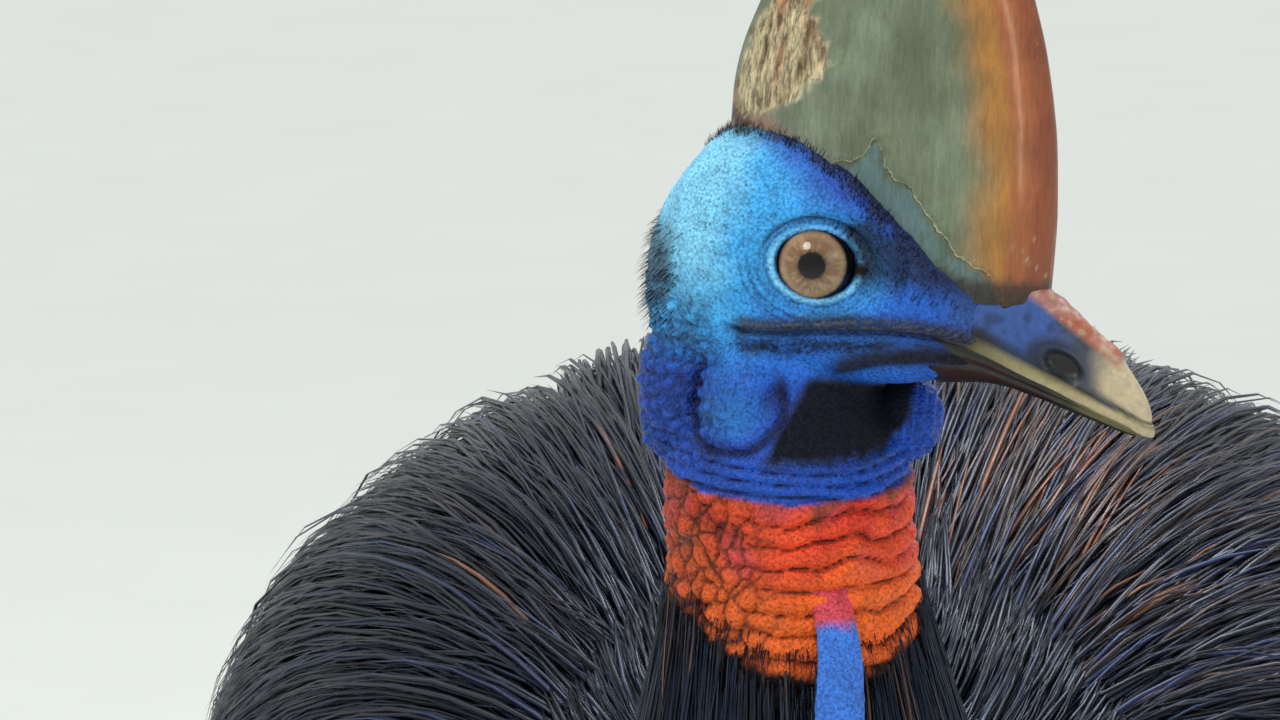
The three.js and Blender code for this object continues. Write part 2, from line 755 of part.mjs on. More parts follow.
// Body nodes
const wingRoom = both.map((sign) => wingFull(sign, GAP));
function torsoPart(grow = 0) {
  const core = behind(ahead(bodyCore(grow), RUMP_Y, grow), BREAST_Y, grow);
  return join(core, coat(bodyPoint, TORSO_LOCKS, grow > 0));
}
const rump = join(behind(bodyCore(), RUMP_Y), coat(bodyPoint, RUMP_LOCKS));
node("rump", cut(rump, torsoPart(GAP)), skin.feather);
const thighPart = (sign, grow = 0) =>
  join(thighCore(sign, grow), coat(thighSurface(sign), THIGH_LOCKS, grow > 0));
const thighRoom = both.map((sign) => thighPart(sign, GAP));
node("torso", cut(torsoPart(), baseRoom, wingRoom, thighRoom), skin.feather);
for (const [side, sign] of Object.entries(SIDES)) {
  node(`wing_${side}`, wingFull(sign), "#0d0c0c", 0.4);
  node(`thigh_${side}`, cut(thighPart(sign), shinFull(sign, GAP)), skin.feather);
  const hock = legPoint(sign, 0, 78, HOCK);
  const shin = beyond(shinFull(sign), hock, straightUp);
  node(`shin_${side}`, shin, skin.leg);
  const tarsus = beyond(tarsusFull(sign), hock, DOWN);
  node(`tarsus_${side}`, tarsus, skin.leg);
  const { inner, middle, outer } = TOES;
  const foot = tarsusFull(sign, GAP);
  const middleClaw = clawFull(sign, middle, GAP);
  node(`toe_middle_${side}`, cut(toeFull(sign, middle), foot, middleClaw), skin.leg);
  const middleToe = toeFull(sign, middle, GAP);
  for (const [name, toe] of Object.entries({ inner, outer })) {
    const claw = clawFull(sign, toe, GAP);
    node(`toe_${name}_${side}`, cut(toeFull(sign, toe), foot, middleToe, claw), skin.leg);
  }
  for (const [name, toe] of Object.entries(TOES)) {
    node(`claw_${name}_${side}`, clawFull(sign, toe), "#3a3530", 0.4);
  }
}

// The bird, moved so that the middle of its outline stands over the origin
const outline = new THREE.Box3();
for (const { solid } of parts) {
  const { min, max } = solid.boundingBox();
  outline.expandByPoint(vec(...min)).expandByPoint(vec(...max));
}
const middle = outline.getCenter(vec(0, 0, 0));
const bird = new THREE.Group();
for (const { name, solid, color, roughness } of parts) {
  const moved = geometryOf(solid).translate(-middle.x, -middle.y, 0);
  const material = new THREE.MeshStandardMaterial({ color, roughness, metalness: 0 });
  const mesh = new THREE.Mesh(geometryOf(whole(solidOf(moved))), material);
  mesh.name = name;
  bird.add(mesh);
}

export default bird;
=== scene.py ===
"""A single-wattled cassowary at life size, standing still with its head turned to its left."""

import math
from types import SimpleNamespace

import bmesh
import bpy
import numpy as np
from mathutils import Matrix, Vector, noise


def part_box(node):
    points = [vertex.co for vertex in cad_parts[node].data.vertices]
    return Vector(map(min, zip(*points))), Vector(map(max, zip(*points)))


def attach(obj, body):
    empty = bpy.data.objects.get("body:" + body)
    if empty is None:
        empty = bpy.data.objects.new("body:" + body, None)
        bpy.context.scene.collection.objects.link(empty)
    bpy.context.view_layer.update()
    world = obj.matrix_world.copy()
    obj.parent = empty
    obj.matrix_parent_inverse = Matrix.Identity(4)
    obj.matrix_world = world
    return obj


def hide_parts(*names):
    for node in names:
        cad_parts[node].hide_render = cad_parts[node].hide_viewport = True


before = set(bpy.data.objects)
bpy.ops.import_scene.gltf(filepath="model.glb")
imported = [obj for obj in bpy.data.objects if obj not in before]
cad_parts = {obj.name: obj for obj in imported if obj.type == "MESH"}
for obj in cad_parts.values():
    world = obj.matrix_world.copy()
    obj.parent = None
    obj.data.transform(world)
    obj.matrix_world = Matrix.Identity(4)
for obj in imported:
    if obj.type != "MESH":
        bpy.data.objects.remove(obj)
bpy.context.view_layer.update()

# Where the head is. Sizes below are millimetres in the frame's own axes. The head has its own
# directions, forward along the bill, left and up, and they start between the two eyes.
MM = 0.001
HEAD_TURN = math.radians(70)
HEAD_DIP = math.radians(5)
EYE_PLACE = (-6.0, 17.5, -1.5)
EYE_RADIUS = 16.0
FORWARD = np.array(
    [
        math.cos(HEAD_DIP) * math.sin(HEAD_TURN),
        -math.cos(HEAD_DIP) * math.cos(HEAD_TURN),
        -math.sin(HEAD_DIP),
    ]
)
UP = np.array(
    [
        math.sin(HEAD_DIP) * math.sin(HEAD_TURN),
        -math.sin(HEAD_DIP) * math.cos(HEAD_TURN),
        math.cos(HEAD_DIP),
    ]
)
LEFT = np.cross(UP, FORWARD)
DOWN = np.array([0.0, 0.0, -1.0])


def middle_of(node):
    low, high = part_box(node)
    return np.array((low + high) / 2) / MM


eyes_middle = (middle_of("eye_left") + middle_of("eye_right")) / 2
HEAD = eyes_middle - EYE_PLACE[0] * FORWARD - EYE_PLACE[2] * UP
NECK_LINE_X, NECK_LINE_Y = HEAD[0] - 15, HEAD[1] + 430


def on_head(f, l, u):
    """A point in the frame from places forward, left and up on the head."""
    f, l, u = np.broadcast_arrays(f, l, u)
    return HEAD + f[..., None] * FORWARD + l[..., None] * LEFT + u[..., None] * UP


def in_frame(points):
    """Places measured from the middle of the stance, moved to where the frame has them."""
    return np.asarray(points, float) + (NECK_LINE_X, NECK_LINE_Y, 0)


# The camera stands in front and a little above, and looks down at the right side of the head.
# It is aimed by the right eye, which sits up and to the right of the picture's middle.
CAMERA = {"distance": 2600, "lens": 230.4, "azimuth": -4, "down": 11}
EYE_IN_VIEW = {"right": 55.2, "up": 29.5}
azimuth, down = math.radians(CAMERA["azimuth"]), math.radians(CAMERA["down"])
view_right = np.array([math.cos(azimuth), -math.sin(azimuth), 0])
view_ahead = np.array(
    [
        math.sin(azimuth) * math.cos(down),
        math.cos(azimuth) * math.cos(down),
        -math.sin(down),
    ]
)
view_up = np.cross(view_right, view_ahead)
right_eye = on_head(EYE_PLACE[0] + 5, -EYE_PLACE[1] - 15, EYE_PLACE[2] + 1)
aim = right_eye - EYE_IN_VIEW["right"] * view_right - EYE_IN_VIEW["up"] * view_up
camera_data = bpy.data.cameras.new("camera")
camera_data.lens = CAMERA["lens"]
camera_data.sensor_width = 36
camera_data.clip_start = 0.05
camera_data.clip_end = 60
camera = bpy.data.objects.new("camera", camera_data)
camera.location = Vector((aim - CAMERA["distance"] * view_ahead) * MM)
camera.rotation_mode = "QUATERNION"
camera.rotation_quaternion = Vector(view_ahead).to_track_quat("-Z", "Y")
bpy.context.scene.collection.objects.link(camera)
bpy.context.scene.camera = camera


def tint(code):
    """A linear colour from its web code."""
    parts = [int(code[i : i + 2], 16) / 255 for i in (1, 3, 5)]
    return [c / 12.92 if c <= 0.04045 else ((c + 0.055) / 1.055) ** 2.4 for c in parts]


CELL_SMOOTHNESS = 0.4


class Nodes:
    """A material's node tree, filled from short calls."""

    def __init__(self, name):
        self.material = bpy.data.materials.new(name)
        self.material.use_nodes = True
        self.tree = self.material.node_tree
        self.shader = self.tree.nodes["Principled BSDF"]

    def add(self, kind, settings=None, **inputs):
        made = self.tree.nodes.new(kind)
        for key, value in (settings or {}).items():
            setattr(made, key, value)
        for key, value in inputs.items():
            self.feed(made.inputs[key.replace("_", " ")], value)
        return made

    def feed(self, socket, value):
        if isinstance(value, bpy.types.NodeSocket):
            self.tree.links.new(value, socket)
        elif hasattr(value, "__len__") and len(value) == 3 and socket.type == "RGBA":
            socket.default_value = (*value, 1)
        else:
            socket.default_value = value

    def place(self):
        return self.add("ShaderNodeTexCoord").outputs["Object"]

    def read(self, name, output="Fac"):
        return self.add("ShaderNodeAttribute", {"attribute_name": name}).outputs[output]

    def noise(self, scale, detail=3, rough=0.55, vector=None):
        made = self.add("ShaderNodeTexNoise", Scale=scale, Detail=detail, Roughness=rough)
        self.feed(made.inputs["Vector"], vector or self.place())
        return made.outputs["Fac"]

    def cells(self, scale, vector=None, feature="F1"):
        made = self.add("ShaderNodeTexVoronoi", {"feature": feature}, Scale=scale)
        if feature == "SMOOTH_F1":
            made.inputs["Smoothness"].default_value = CELL_SMOOTHNESS
        self.feed(made.inputs["Vector"], vector or self.place())
        return made.outputs["Distance"]

    def ramp(self, value, stops):
        made = self.add("ShaderNodeValToRGB")
        elements = made.color_ramp.elements
        while len(elements) < len(stops):
            elements.new(0.5)
        for element, (at, colour) in zip(elements, stops):
            element.position = at
            shade = colour if hasattr(colour, "__len__") else (colour,) * 3
            element.color = (*shade, 1)
        self.feed(made.inputs["Fac"], value)
        return made.outputs["Color"]

    def mix(self, share, a, b, blend="MIX"):
        made = self.add("ShaderNodeMix", {"data_type": "RGBA", "blend_type": blend})
        self.feed(made.inputs[0], share)
        self.feed(made.inputs[6], a)
        self.feed(made.inputs[7], b)
        return made.outputs[2]

    def sum(self, a, b, operation="ADD"):
        made = self.add("ShaderNodeMath", {"operation": operation})
        self.feed(made.inputs[0], a)
        self.feed(made.inputs[1], b)
        return made.outputs[0]

    def grained(self, grain, share, dark, light):
        """The colours painted on the points, darker and lighter with a grain."""
        shade = self.ramp(grain, [(0.3, dark), (0.7, light)])
        return self.mix(share, self.read("paint", "Color"), shade, "MULTIPLY")

    def bump(self, height, depth, strength):
        made = self.add("ShaderNodeBump", Strength=strength, Distance=depth, Height=height)
        before = self.shader.inputs["Normal"]
        if before.links:
            self.feed(made.inputs["Normal"], before.links[0].from_socket)
        self.feed(before, made.outputs["Normal"])

    def finish(self, colour, roughness, **constants):
        self.feed(self.shader.inputs["Base Color"], colour)
        self.feed(self.shader.inputs["Roughness"], roughness)
        for key, value in constants.items():
            self.shader.inputs[key.replace("_", " ")].default_value = value
        return self.material


# The studio: a plain pale floor, soft daylight and three soft lamps: a broad one above on the
# left of the picture, a weaker one on its right, and one behind that rims the feathers.
FLOOR_REACH = 30
FLOOR_TINTS = ("#dcdfd9", "#e3e6e0")
SKY = {"colour": (0.9, 0.94, 0.95, 1), "strength": 0.62}
LAMPS = {
    "key": {"place": (-1.3, -1.5, 2.4), "size": 1.1, "power": 42, "colour": (1, 0.98, 0.94)},
    "fill": {"place": (1.9, -1.6, 0.9), "size": 1.6, "power": 10, "colour": (0.9, 0.96, 1)},
    "rim": {"place": (0.7, 2.6, 2.2), "size": 1.4, "power": 40, "colour": (0.95, 0.98, 1)},
}
DAYLIGHT = {"power": 1.35, "wide": 35, "turn": (-18, -10, 0)}


def add_lamp(name, kind, power):
    lamp_data = bpy.data.lights.new(name, kind)
    lamp_data.energy = power
    lamp = bpy.data.objects.new(name, lamp_data)
    bpy.context.scene.collection.objects.link(lamp)
    return lamp


def studio():
    floor_mesh = bpy.data.meshes.new("floor")
    reach = FLOOR_REACH
    corners = [(-reach, -reach, 0), (reach, -reach, 0), (reach, reach, 0), (-reach, reach, 0)]
    floor_mesh.from_pydata(corners, [], [(0, 1, 2, 3)])
    floor = bpy.data.objects.new("floor", floor_mesh)
    bpy.context.scene.collection.objects.link(floor)
    paper = Nodes("studio_floor")
    grain = paper.ramp(paper.noise(6), list(enumerate(map(tint, FLOOR_TINTS))))
    floor_mesh.materials.append(paper.finish(grain, 0.8))
    world = bpy.data.worlds.new("studio")
    bpy.context.scene.world = world
    world.use_nodes = True
    bpy.context.scene.view_settings.view_transform = "Standard"
    sky = world.node_tree.nodes["Background"]
    sky.inputs["Color"].default_value = SKY["colour"]
    sky.inputs["Strength"].default_value = SKY["strength"]
    target = Vector(HEAD * MM)
    for name, plan in LAMPS.items():
        lamp = add_lamp(name, "AREA", plan["power"])
        lamp.data.shape = "DISK"
        lamp.data.size = plan["size"]
        lamp.data.color = plan["colour"]
        lamp.location = target + Vector(plan["place"])
        lamp.rotation_mode = "QUATERNION"
        lamp.rotation_quaternion = (target - lamp.location).to_track_quat("-Z", "Y")
    sun = add_lamp("daylight", "SUN", DAYLIGHT["power"])
    sun.data.angle = math.radians(DAYLIGHT["wide"])
    sun.rotation_euler = [math.radians(turn) for turn in DAYLIGHT["turn"]]


studio()


# Skin: the bird's own hide, one closed surface from the bill's root over the naked head and
# neck, and on under the coat. It is blue on the head, red on the neck and folded where it
# hangs loose. Lofts and balls are fused by a fine voxel remesh, then its folds are pressed in.
SKULL = [
    [-69, -2, -28, 8],
    [-62, 14, -42, 20],
    [-46, 34, -53, 30],
    [-22, 42, -51, 33],
    [2, 37, -45, 31.5],
    [22, 26, -40, 27],
    [38, 13, -36, 20.5],
    [50, 5, -35, 14],
]
LOBES = {
    "jowl_right": {"place": (-25, -19.5, -49), "radii": (15.5, 16, 20)},
    "jowl_left": {"place": (18, 13, -54), "radii": (11, 12, 14)},
    "nape": {"place": (-50, 0, -52), "radii": (19, 25, 30)},
}
# Where the dip round the right jowl runs, and the way across the throat that its edges follow
JOWL_EDGE = {"place": (-25, -24, -51), "radii": (15.5, 15, 19)}
THROAT_WAY = {"f": 2.87, "l": 1.28, "u": 0.25}
LID = {"round": 13.4, "half": 1.5, "crest": 11.9, "inner": 12.0, "outer": 28, "stretch": (1.06, 0.86)}
MOUTH = [[-28, -25.5], [-18, -25.5], [2, -22], [25, -19.5], [40, -20.5], [62, -27.5], [78, -33]]
LOWER_LIP = [[-2, -37], [5, -34], [21, -28.5], [41, -26], [56, -28], [70, -33]]
NECK_PATH = [
    (-8, -420, 1085),
    (-8, -421, 1040),
    (-6, -420, 1000),
    (-4, -414, 955),
    (-2, -398, 905),
    (0, -358, 850),
    (0, -290, 812),
    (0, -190, 800),
    (0, -60, 796),
]
NECK = [
    [1085, 30],
    [1062, 31],
    [1048, 33],
    [1036, 39],
    [1000, 40.5],
    [955, 43],
    [905, 51],
    [850, 74],
    [812, 112],
    [800, 150],
    [796, 170],
]
HEAD_FOOT = {"low": 1026, "high": 1036}
COLLAR_TOP = 1029
COLLAR_FOOT = 984
FOLDS = 7
FOLD_DEPTH = 2.7
SKULL_RINGS = {"rows": 60, "round": 72, "square": 0.92}
BALL = {"sides": 48, "pole": 0.02}
NECK_SKIN = {"foot": 915, "deep": 1.1, "rows": 60}
SKIN_VOXEL = 0.98
SMOOTHING_ROUNDS = 12
# The hide under the coat: how coarse it is and how deep it lies
UNDER_BODY = {"from": 0.1, "to": 3.04, "rows": 40, "round": 48, "deeper": 4}
UNDER_NECK = {"top": 925, "to": 0.97, "rows": 40, "sunk": 32, "sinks_from": 900, "sinks_to": 830}
UNDER_THIGH = {"rows": 24, "deep": 15}
UNDER_VOXEL = 14


def power(value, exponent):
    return np.sign(value) * np.abs(value) ** exponent


def ease(value, low, high):
    """0 below low, 1 above high, and smooth between."""
    s = np.clip((np.asarray(value, float) - low) / (high - low), 0, 1)
    return s * s * (3 - 2 * s)


def hump(value, middle, width):
    """1 at the middle, falling to 0 a width away."""
    return np.maximum(0, 1 - ((np.asarray(value, float) - middle) / width) ** 2) ** 2


def between(rows, place):
    """The columns of a table at places between its rows, on smooth curves through them."""
    rows = np.asarray(rows, float)
    place = np.asarray(place, float)
    i = np.clip(np.searchsorted(rows[:, 0], place, side="right") - 1, 0, len(rows) - 2)
    a, b = rows[i], rows[i + 1]
    before, after = rows[np.maximum(i - 1, 0)], rows[np.minimum(i + 2, len(rows) - 1)]
    span = b[..., 0] - a[..., 0]
    s = np.clip((place - a[..., 0]) / span, 0, 1)[..., None]
    into = span[..., None] * (b - before)[..., 1:] / (b - before)[..., :1]
    out = span[..., None] * (after - a)[..., 1:] / (after - a)[..., :1]
    step = s * s * (3 - 2 * s)
    a, b = a[..., 1:], b[..., 1:]
    return a + (b - a) * step + into * s * (1 - s) ** 2 - out * s * s * (1 - s)


def level(rows, place):
    """The one value of a two-column table at places held between its ends."""
    return between(rows, np.clip(place, rows[0][0], rows[-1][0]))[..., 0]


class Path:
    """A smooth curve through points, read at even shares of its length."""

    def __init__(self, points):
        p = np.asarray(points, float)
        p = np.vstack([2 * p[0] - p[1], p, 2 * p[-1] - p[-2]])
        s = np.linspace(0, 1, 60, endpoint=False)[:, None]
        line = []
        for a, b, c, d in zip(p, p[1:], p[2:], p[3:]):
            da, db, dc = (math.sqrt(np.linalg.norm(q - r)) for q, r in ((b, a), (c, b), (d, c)))
            leave = ((b - a) / da - (c - a) / (da + db)) * db + c - b
            reach = c - b - ((d - b) / (db + dc) - (d - c) / dc) * db
            bend = 3 * (c - b) - 2 * leave - reach
            twist = leave + reach - 2 * (c - b)
            line.append(b + leave * s + bend * s**2 + twist * s**3)
        line = np.vstack([*line, p[-2:-1]])
        run = np.concatenate([[0], np.cumsum(np.linalg.norm(np.diff(line, axis=0), axis=1))])
        self.length = run[-1]
        self.share, self.line = run / run[-1], line

    def at(self, t):
        return np.stack([np.interp(t, self.share, self.line[:, i]) for i in range(3)], -1)

    def ahead(self, t):
        step = 2e-3
        way = self.at(np.minimum(t + step, 1)) - self.at(np.maximum(t - step, 0))
        return way / np.linalg.norm(way, axis=-1, keepdims=True)

    def where(self, column, value):
        """The share of the length where a falling coordinate passes a value."""
        return np.interp(-value, -self.line[:, column], self.share)

    def beside(self, t, angle, radius):
        """A point beside the curve. Angle 0 faces the front of a curve that hangs down."""
        ahead = self.ahead(t)
        side = np.array([1.0, 0, 0]) - ahead * ahead[..., :1]
        side /= np.linalg.norm(side, axis=-1, keepdims=True)
        front = np.cross(ahead, side)
        across = np.cos(angle)[..., None] * front + np.sin(angle)[..., None] * side
        return self.at(t) + np.asarray(radius)[..., None] * across


def ring_angles(count):
    return np.linspace(0, 2 * np.pi, count, endpoint=False)


def loft(rings):
    """Points and faces of a closed body through rings of points."""
    count, round_ = rings.shape[:2]
    index = np.arange(count * round_).reshape(count, round_)
    turned = np.roll(index, -1, axis=1)
    sides = np.stack([index[:-1], turned[:-1], turned[1:], index[1:]], -1).reshape(-1, 4)
    return rings.reshape(-1, 3), [*sides.tolist(), index[0][::-1].tolist(), index[-1].tolist()]


def tube(path, shape, t, sides=64):
    """A loft along a path, whose radius is shape(t, angle)."""
    grid_t, grid_a = np.meshgrid(t, ring_angles(sides), indexing="ij")
    return loft(path.beside(grid_t, grid_a, shape(grid_t, grid_a)))


def ball(place, radii):
    """A ball on the head, with a radius forward, left and up."""
    pole, sides = BALL["pole"], BALL["sides"]
    rise, around = np.meshgrid(
        np.linspace(pole, np.pi - pole, sides // 2), ring_angles(sides), indexing="ij"
    )
    return loft(
        on_head(
            place[0] + radii[0] * np.cos(rise),
            place[1] + radii[1] * np.sin(rise) * np.cos(around),
            place[2] + radii[2] * np.sin(rise) * np.sin(around),
        )
    )


def mesh_of(name, shapes):
    """A mesh in metres from lists of (points, faces), with every face turned outwards."""
    points, faces, first = [], [], 0
    for shape_points, shape_faces in shapes:
        points.append(shape_points)
        faces += [[first + i for i in face] for face in shape_faces]
        first += len(shape_points)
    mesh = bpy.data.meshes.new(name)
    mesh.from_pydata((np.vstack(points) * MM).tolist(), [], faces)
    work = bmesh.new()
    work.from_mesh(mesh)
    bmesh.ops.recalc_face_normals(work, faces=work.faces)
    work.to_mesh(mesh)
    work.free()
    mesh.shade_smooth()
    return mesh


def fused(mesh, voxel):
    """The same mesh as one closed surface of small even faces."""
    rough = bpy.data.objects.new("rough", mesh)
    bpy.context.scene.collection.objects.link(rough)
    fuse = rough.modifiers.new("fuse", "REMESH")
    fuse.mode = "VOXEL"
    fuse.voxel_size = voxel * MM
    depsgraph = bpy.context.evaluated_depsgraph_get()
    done = bpy.data.meshes.new_from_object(rough.evaluated_get(depsgraph))
    bpy.data.objects.remove(rough)
    done.name = mesh.name
    done.shade_smooth()
    return done


def points_of(mesh):
    flat = np.zeros(len(mesh.vertices) * 3, np.float32)
    mesh.vertices.foreach_get("co", flat)
    return flat.reshape(-1, 3).astype(float) / MM


def normals_of(mesh):
    flat = np.zeros(len(mesh.vertices) * 3, np.float32)
    mesh.vertex_normals.foreach_get("vector", flat)
    return flat.reshape(-1, 3).astype(float)


def set_points(mesh, points):
    mesh.vertices.foreach_set("co", (points * MM).astype(np.float32).ravel())
    mesh.update()


def smoothed(mesh, points, rounds, weight=1.0):
    """Points drawn towards the mean of their neighbours."""
    edges = np.zeros(len(mesh.edges) * 2, np.int32)
    mesh.edges.foreach_get("vertices", edges)
    a, b = edges.reshape(-1, 2).T
    degree = np.maximum(np.bincount(np.concatenate([a, b]), minlength=len(points)), 1)
    for _ in range(rounds):
        total = np.zeros_like(points)
        for column in range(points.shape[1]):
            total[:, column] = np.bincount(a, points[b, column], len(points))
            total[:, column] += np.bincount(b, points[a, column], len(points))
        points = points + weight * 0.5 * (total / degree[:, None] - points)
    return points


def rumple(points, size, seed=0.0):
    """Smooth noise of about -1 to 1 with waves of the given size in millimetres."""
    return np.array([noise.noise(Vector(p) / size + Vector((seed, 0, 0))) for p in points])


def lumps(points, size):
    """Rounded lumps of a size: 1 on top of each, 0 in the creases between them."""
    near = np.array([noise.voronoi(Vector(p) / size)[0][:2] for p in points])
    return np.clip((near[:, 1] - near[:, 0]) * 1.6, 0, 1) ** 0.6


def blend(colour, share, onto):
    """Paint laid over a coat of colours, point by point."""
    return onto + (np.asarray(colour) - onto) * np.clip(share, 0, 1)[:, None]


def layered(ground, layers):
    """A ground colour, or a coat painted before, with more paint laid over it in turn."""
    paint = np.broadcast_to(ground, (len(layers[0][1]), 3))
    for colour, share in layers:
        paint = blend(colour, share, paint)
    return paint


def store(mesh, name, values):
    """Keeps a value or a colour for each point of a mesh, for its material to read."""
    values = np.asarray(values, np.float32)
    if values.ndim == 2:
        made = mesh.attributes.new(name, "FLOAT_COLOR", "POINT")
        values = np.hstack([values, np.ones((len(values), 1), np.float32)])
        made.data.foreach_set("color", values.ravel())
    else:
        made = mesh.attributes.new(name, "FLOAT", "POINT")
        made.data.foreach_set("value", values)


def piece(name, mesh, material, replaced=()):
    """Shows a mesh as a piece of the bird that stands for some of the frame's nodes."""
    made = bpy.data.objects.new(name, mesh)
    bpy.context.scene.collection.objects.link(made)
    mesh.materials.clear()
    mesh.materials.append(material)
    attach(made, "root")
    if replaced:
        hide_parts(*replaced)
    return made


neck_path = Path(in_frame(NECK_PATH))


def neck_radius(t):
    falling = [[-z, r] for z, r in NECK]
    return between(falling, -neck_path.at(t)[..., 2])[..., 0]


def skull_shape():
    f = np.linspace(SKULL[0][0], SKULL[-1][0], SKULL_RINGS["rows"])
    top, bottom, half = between(SKULL, f).T
    a = ring_angles(SKULL_RINGS["round"])[None]
    middle, tall = (top + bottom) / 2, (top - bottom) / 2
    across = half[:, None] * power(np.sin(a), SKULL_RINGS["square"])
    high = middle[:, None] + tall[:, None] * power(np.cos(a), SKULL_RINGS["square"])
    return loft(on_head(f[:, None], across, high))


def eye_axes(sign):
    """An eye's own directions: out of the head, forward and up."""
    out_turn, rise = math.radians(20), math.radians(5)
    flat = math.cos(out_turn) * sign * LEFT + math.sin(out_turn) * FORWARD
    out = math.cos(rise) * flat + math.sin(rise) * UP
    fore = np.cross(np.cross(out, FORWARD), out)
    fore /= np.linalg.norm(fore)
    up = np.cross(fore, out) * -sign
    return out, fore, up if up @ UP > 0 else -up


def eye_point(sign, out, fore, up):
    """A point near an eye, from the middle of the eyeball."""
    axes = eye_axes(sign)
    centre = on_head(EYE_PLACE[0], sign * EYE_PLACE[1], EYE_PLACE[2])
    out, fore, up = np.broadcast_arrays(out, fore, up)
    return centre + sum(size[..., None] * axis for size, axis in zip((out, fore, up), axes))


def head_and_neck():
    foot = neck_path.where(2, NECK_SKIN["foot"])
    neck = tube(
        neck_path, lambda t, a: neck_radius(t) - NECK_SKIN["deep"], np.linspace(0, foot, NECK_SKIN["rows"])
    )
    lobes = [ball(lobe["place"], lobe["radii"]) for lobe in LOBES.values()]
    return fused(mesh_of("skin", [skull_shape(), neck, *lobes]), SKIN_VOXEL)


BODY = {"x": 0, "y": 60, "z": 792, "half": 263, "rise": 194, "depth": 255}
BODY |= {"front": 390, "back": 430, "droop": 170, "coat": 24}
THIGH_PATH = [(0, -95, 650), (12, -50, 560), (7, 10, 480), (2, 50, 405)]
THIGH = [[0, 105], [0.35, 84], [0.7, 55], [1, 29]]
LEG_X, LEG_Y = 95, 97
SIDES = {"left": 1, "right": -1}


def body_point(along, around, height):
    """A point from breast to rump and round the body, a height above the tips of the coat."""
    along, around, height = np.broadcast_arrays(along, around, height)
    reach = np.where(along < np.pi / 2, BODY["front"], BODY["back"]) + height
    lengthwise = -np.cos(along) * reach
    ring = np.sin(along)
    tall = np.where(np.cos(around) > 0, BODY["rise"], BODY["depth"]) + height
    drop = BODY["droop"] * np.maximum(0, lengthwise / BODY["back"]) ** 2
    across = np.sin(around) * ring * (BODY["half"] + height)
    high = np.cos(around) * ring * tall - drop
    place = np.stack([across, lengthwise, high], -1)
    return in_frame(place + (BODY["x"], BODY["y"], BODY["z"]))


def leg_point(sign, points):
    """Places on a leg, given outwards, backwards and up from the middle of its foot."""
    points = np.asarray(points, float)
    return in_frame(points * (sign, 1, 1) + (sign * LEG_X, LEG_Y, 0))


thigh_paths = {sign: Path(leg_point(sign, THIGH_PATH)) for sign in SIDES.values()}


def sunk_neck(t, angle):
    """The neck's radius under the coat, which is drawn in behind where it meets the back."""
    low = ease(-neck_path.at(t)[..., 2], -UNDER_NECK["sinks_from"], -UNDER_NECK["sinks_to"])
    behind = ease(-np.cos(angle), -0.3, 0.6) * low
    return neck_radius(t) - UNDER_NECK["sunk"] * behind


def under_coat():
    """The hide under the feathers, from the neck's middle to the shins."""
    rows = np.linspace(UNDER_BODY["from"], UNDER_BODY["to"], UNDER_BODY["rows"])
    along, around = np.meshgrid(rows, ring_angles(UNDER_BODY["round"]), indexing="ij")
    shapes = [loft(body_point(along, around, -BODY["coat"] - UNDER_BODY["deeper"]))]
    top = neck_path.where(2, UNDER_NECK["top"])
    shapes.append(tube(neck_path, sunk_neck, np.linspace(top, UNDER_NECK["to"], UNDER_NECK["rows"])))
    for path in thigh_paths.values():
        inner = lambda t, a: between(THIGH, t)[..., 0] - UNDER_THIGH["deep"]
        shapes.append(tube(path, inner, np.linspace(0, 1, UNDER_THIGH["rows"])))
    return fused(mesh_of("under", shapes), UNDER_VOXEL)


def head_places(points):
    """Places forward, left and up on the head of points in the frame."""
    away = points - HEAD
    return away @ FORWARD, away @ LEFT, away @ UP


def neck_places(points):
    """The way round the neck, 0 at its front and growing to the left, and the height."""
    axis = neck_path.at(neck_path.where(2, points[:, 2]))
    away = points - axis
    return np.arctan2(away[:, 0], -away[:, 1]), points[:, 2]


def eye_places(points):
    """The places out, fore and up from the nearer eye, and that eye's way out."""
    l = (points - HEAD) @ LEFT
    places, ways = np.zeros_like(points), np.zeros_like(points)
    for sign in SIDES.values():
        mine = l * sign > 0
        away = points[mine] - on_head(EYE_PLACE[0], sign * EYE_PLACE[1], EYE_PLACE[2])
        places[mine] = away @ np.stack(eye_axes(sign)).T
        ways[mine] = eye_axes(sign)[0]
    return (*places.T, ways)


def open_lids(points):
    """Presses a shallow socket round each eye and raises its lids, a ring of small beads."""
    out, fore, up, way = eye_places(points)
    ring = np.hypot(fore / LID["stretch"][0], up / LID["stretch"][1])
    around = np.arctan2(up, fore)
    bead = 0.22 * np.cos(34 * around)
    arch = np.sqrt(np.maximum(0, 1 - ((ring - LID["round"]) / LID["half"]) ** 2))
    rim = LID["crest"] - 1.1 + (1.1 + bead) * arch
    socket = LID["crest"] - 1.0 + 4.6 * ease(ring, LID["round"], LID["outer"]) ** 0.8
    hidden = np.sqrt(np.maximum(0, EYE_RADIUS**2 - fore**2 - up**2)) - 1.6
    shaped = np.minimum(out, np.maximum(rim, socket))
    opened = ease(ring, LID["inner"] - 0.35, LID["inner"] + 0.35)
    corner = hump(fore, 14.5, 3.2) * hump(up, 0, 2.2)
    target = hidden + (shaped - hidden) * opened - 0.9 * corner
    near = (ring < LID["outer"]) & (out > 2)
    return points + np.where(near, target - out, 0)[:, None] * way, ring, fore, up


CASQUE = {"foot": -8, "top": 136, "peak": 20, "front": 67, "back": -46, "half": 22.5, "crest": 6}
CASQUE |= {"front_from": 15, "back_from": 45, "rim_top": 60}


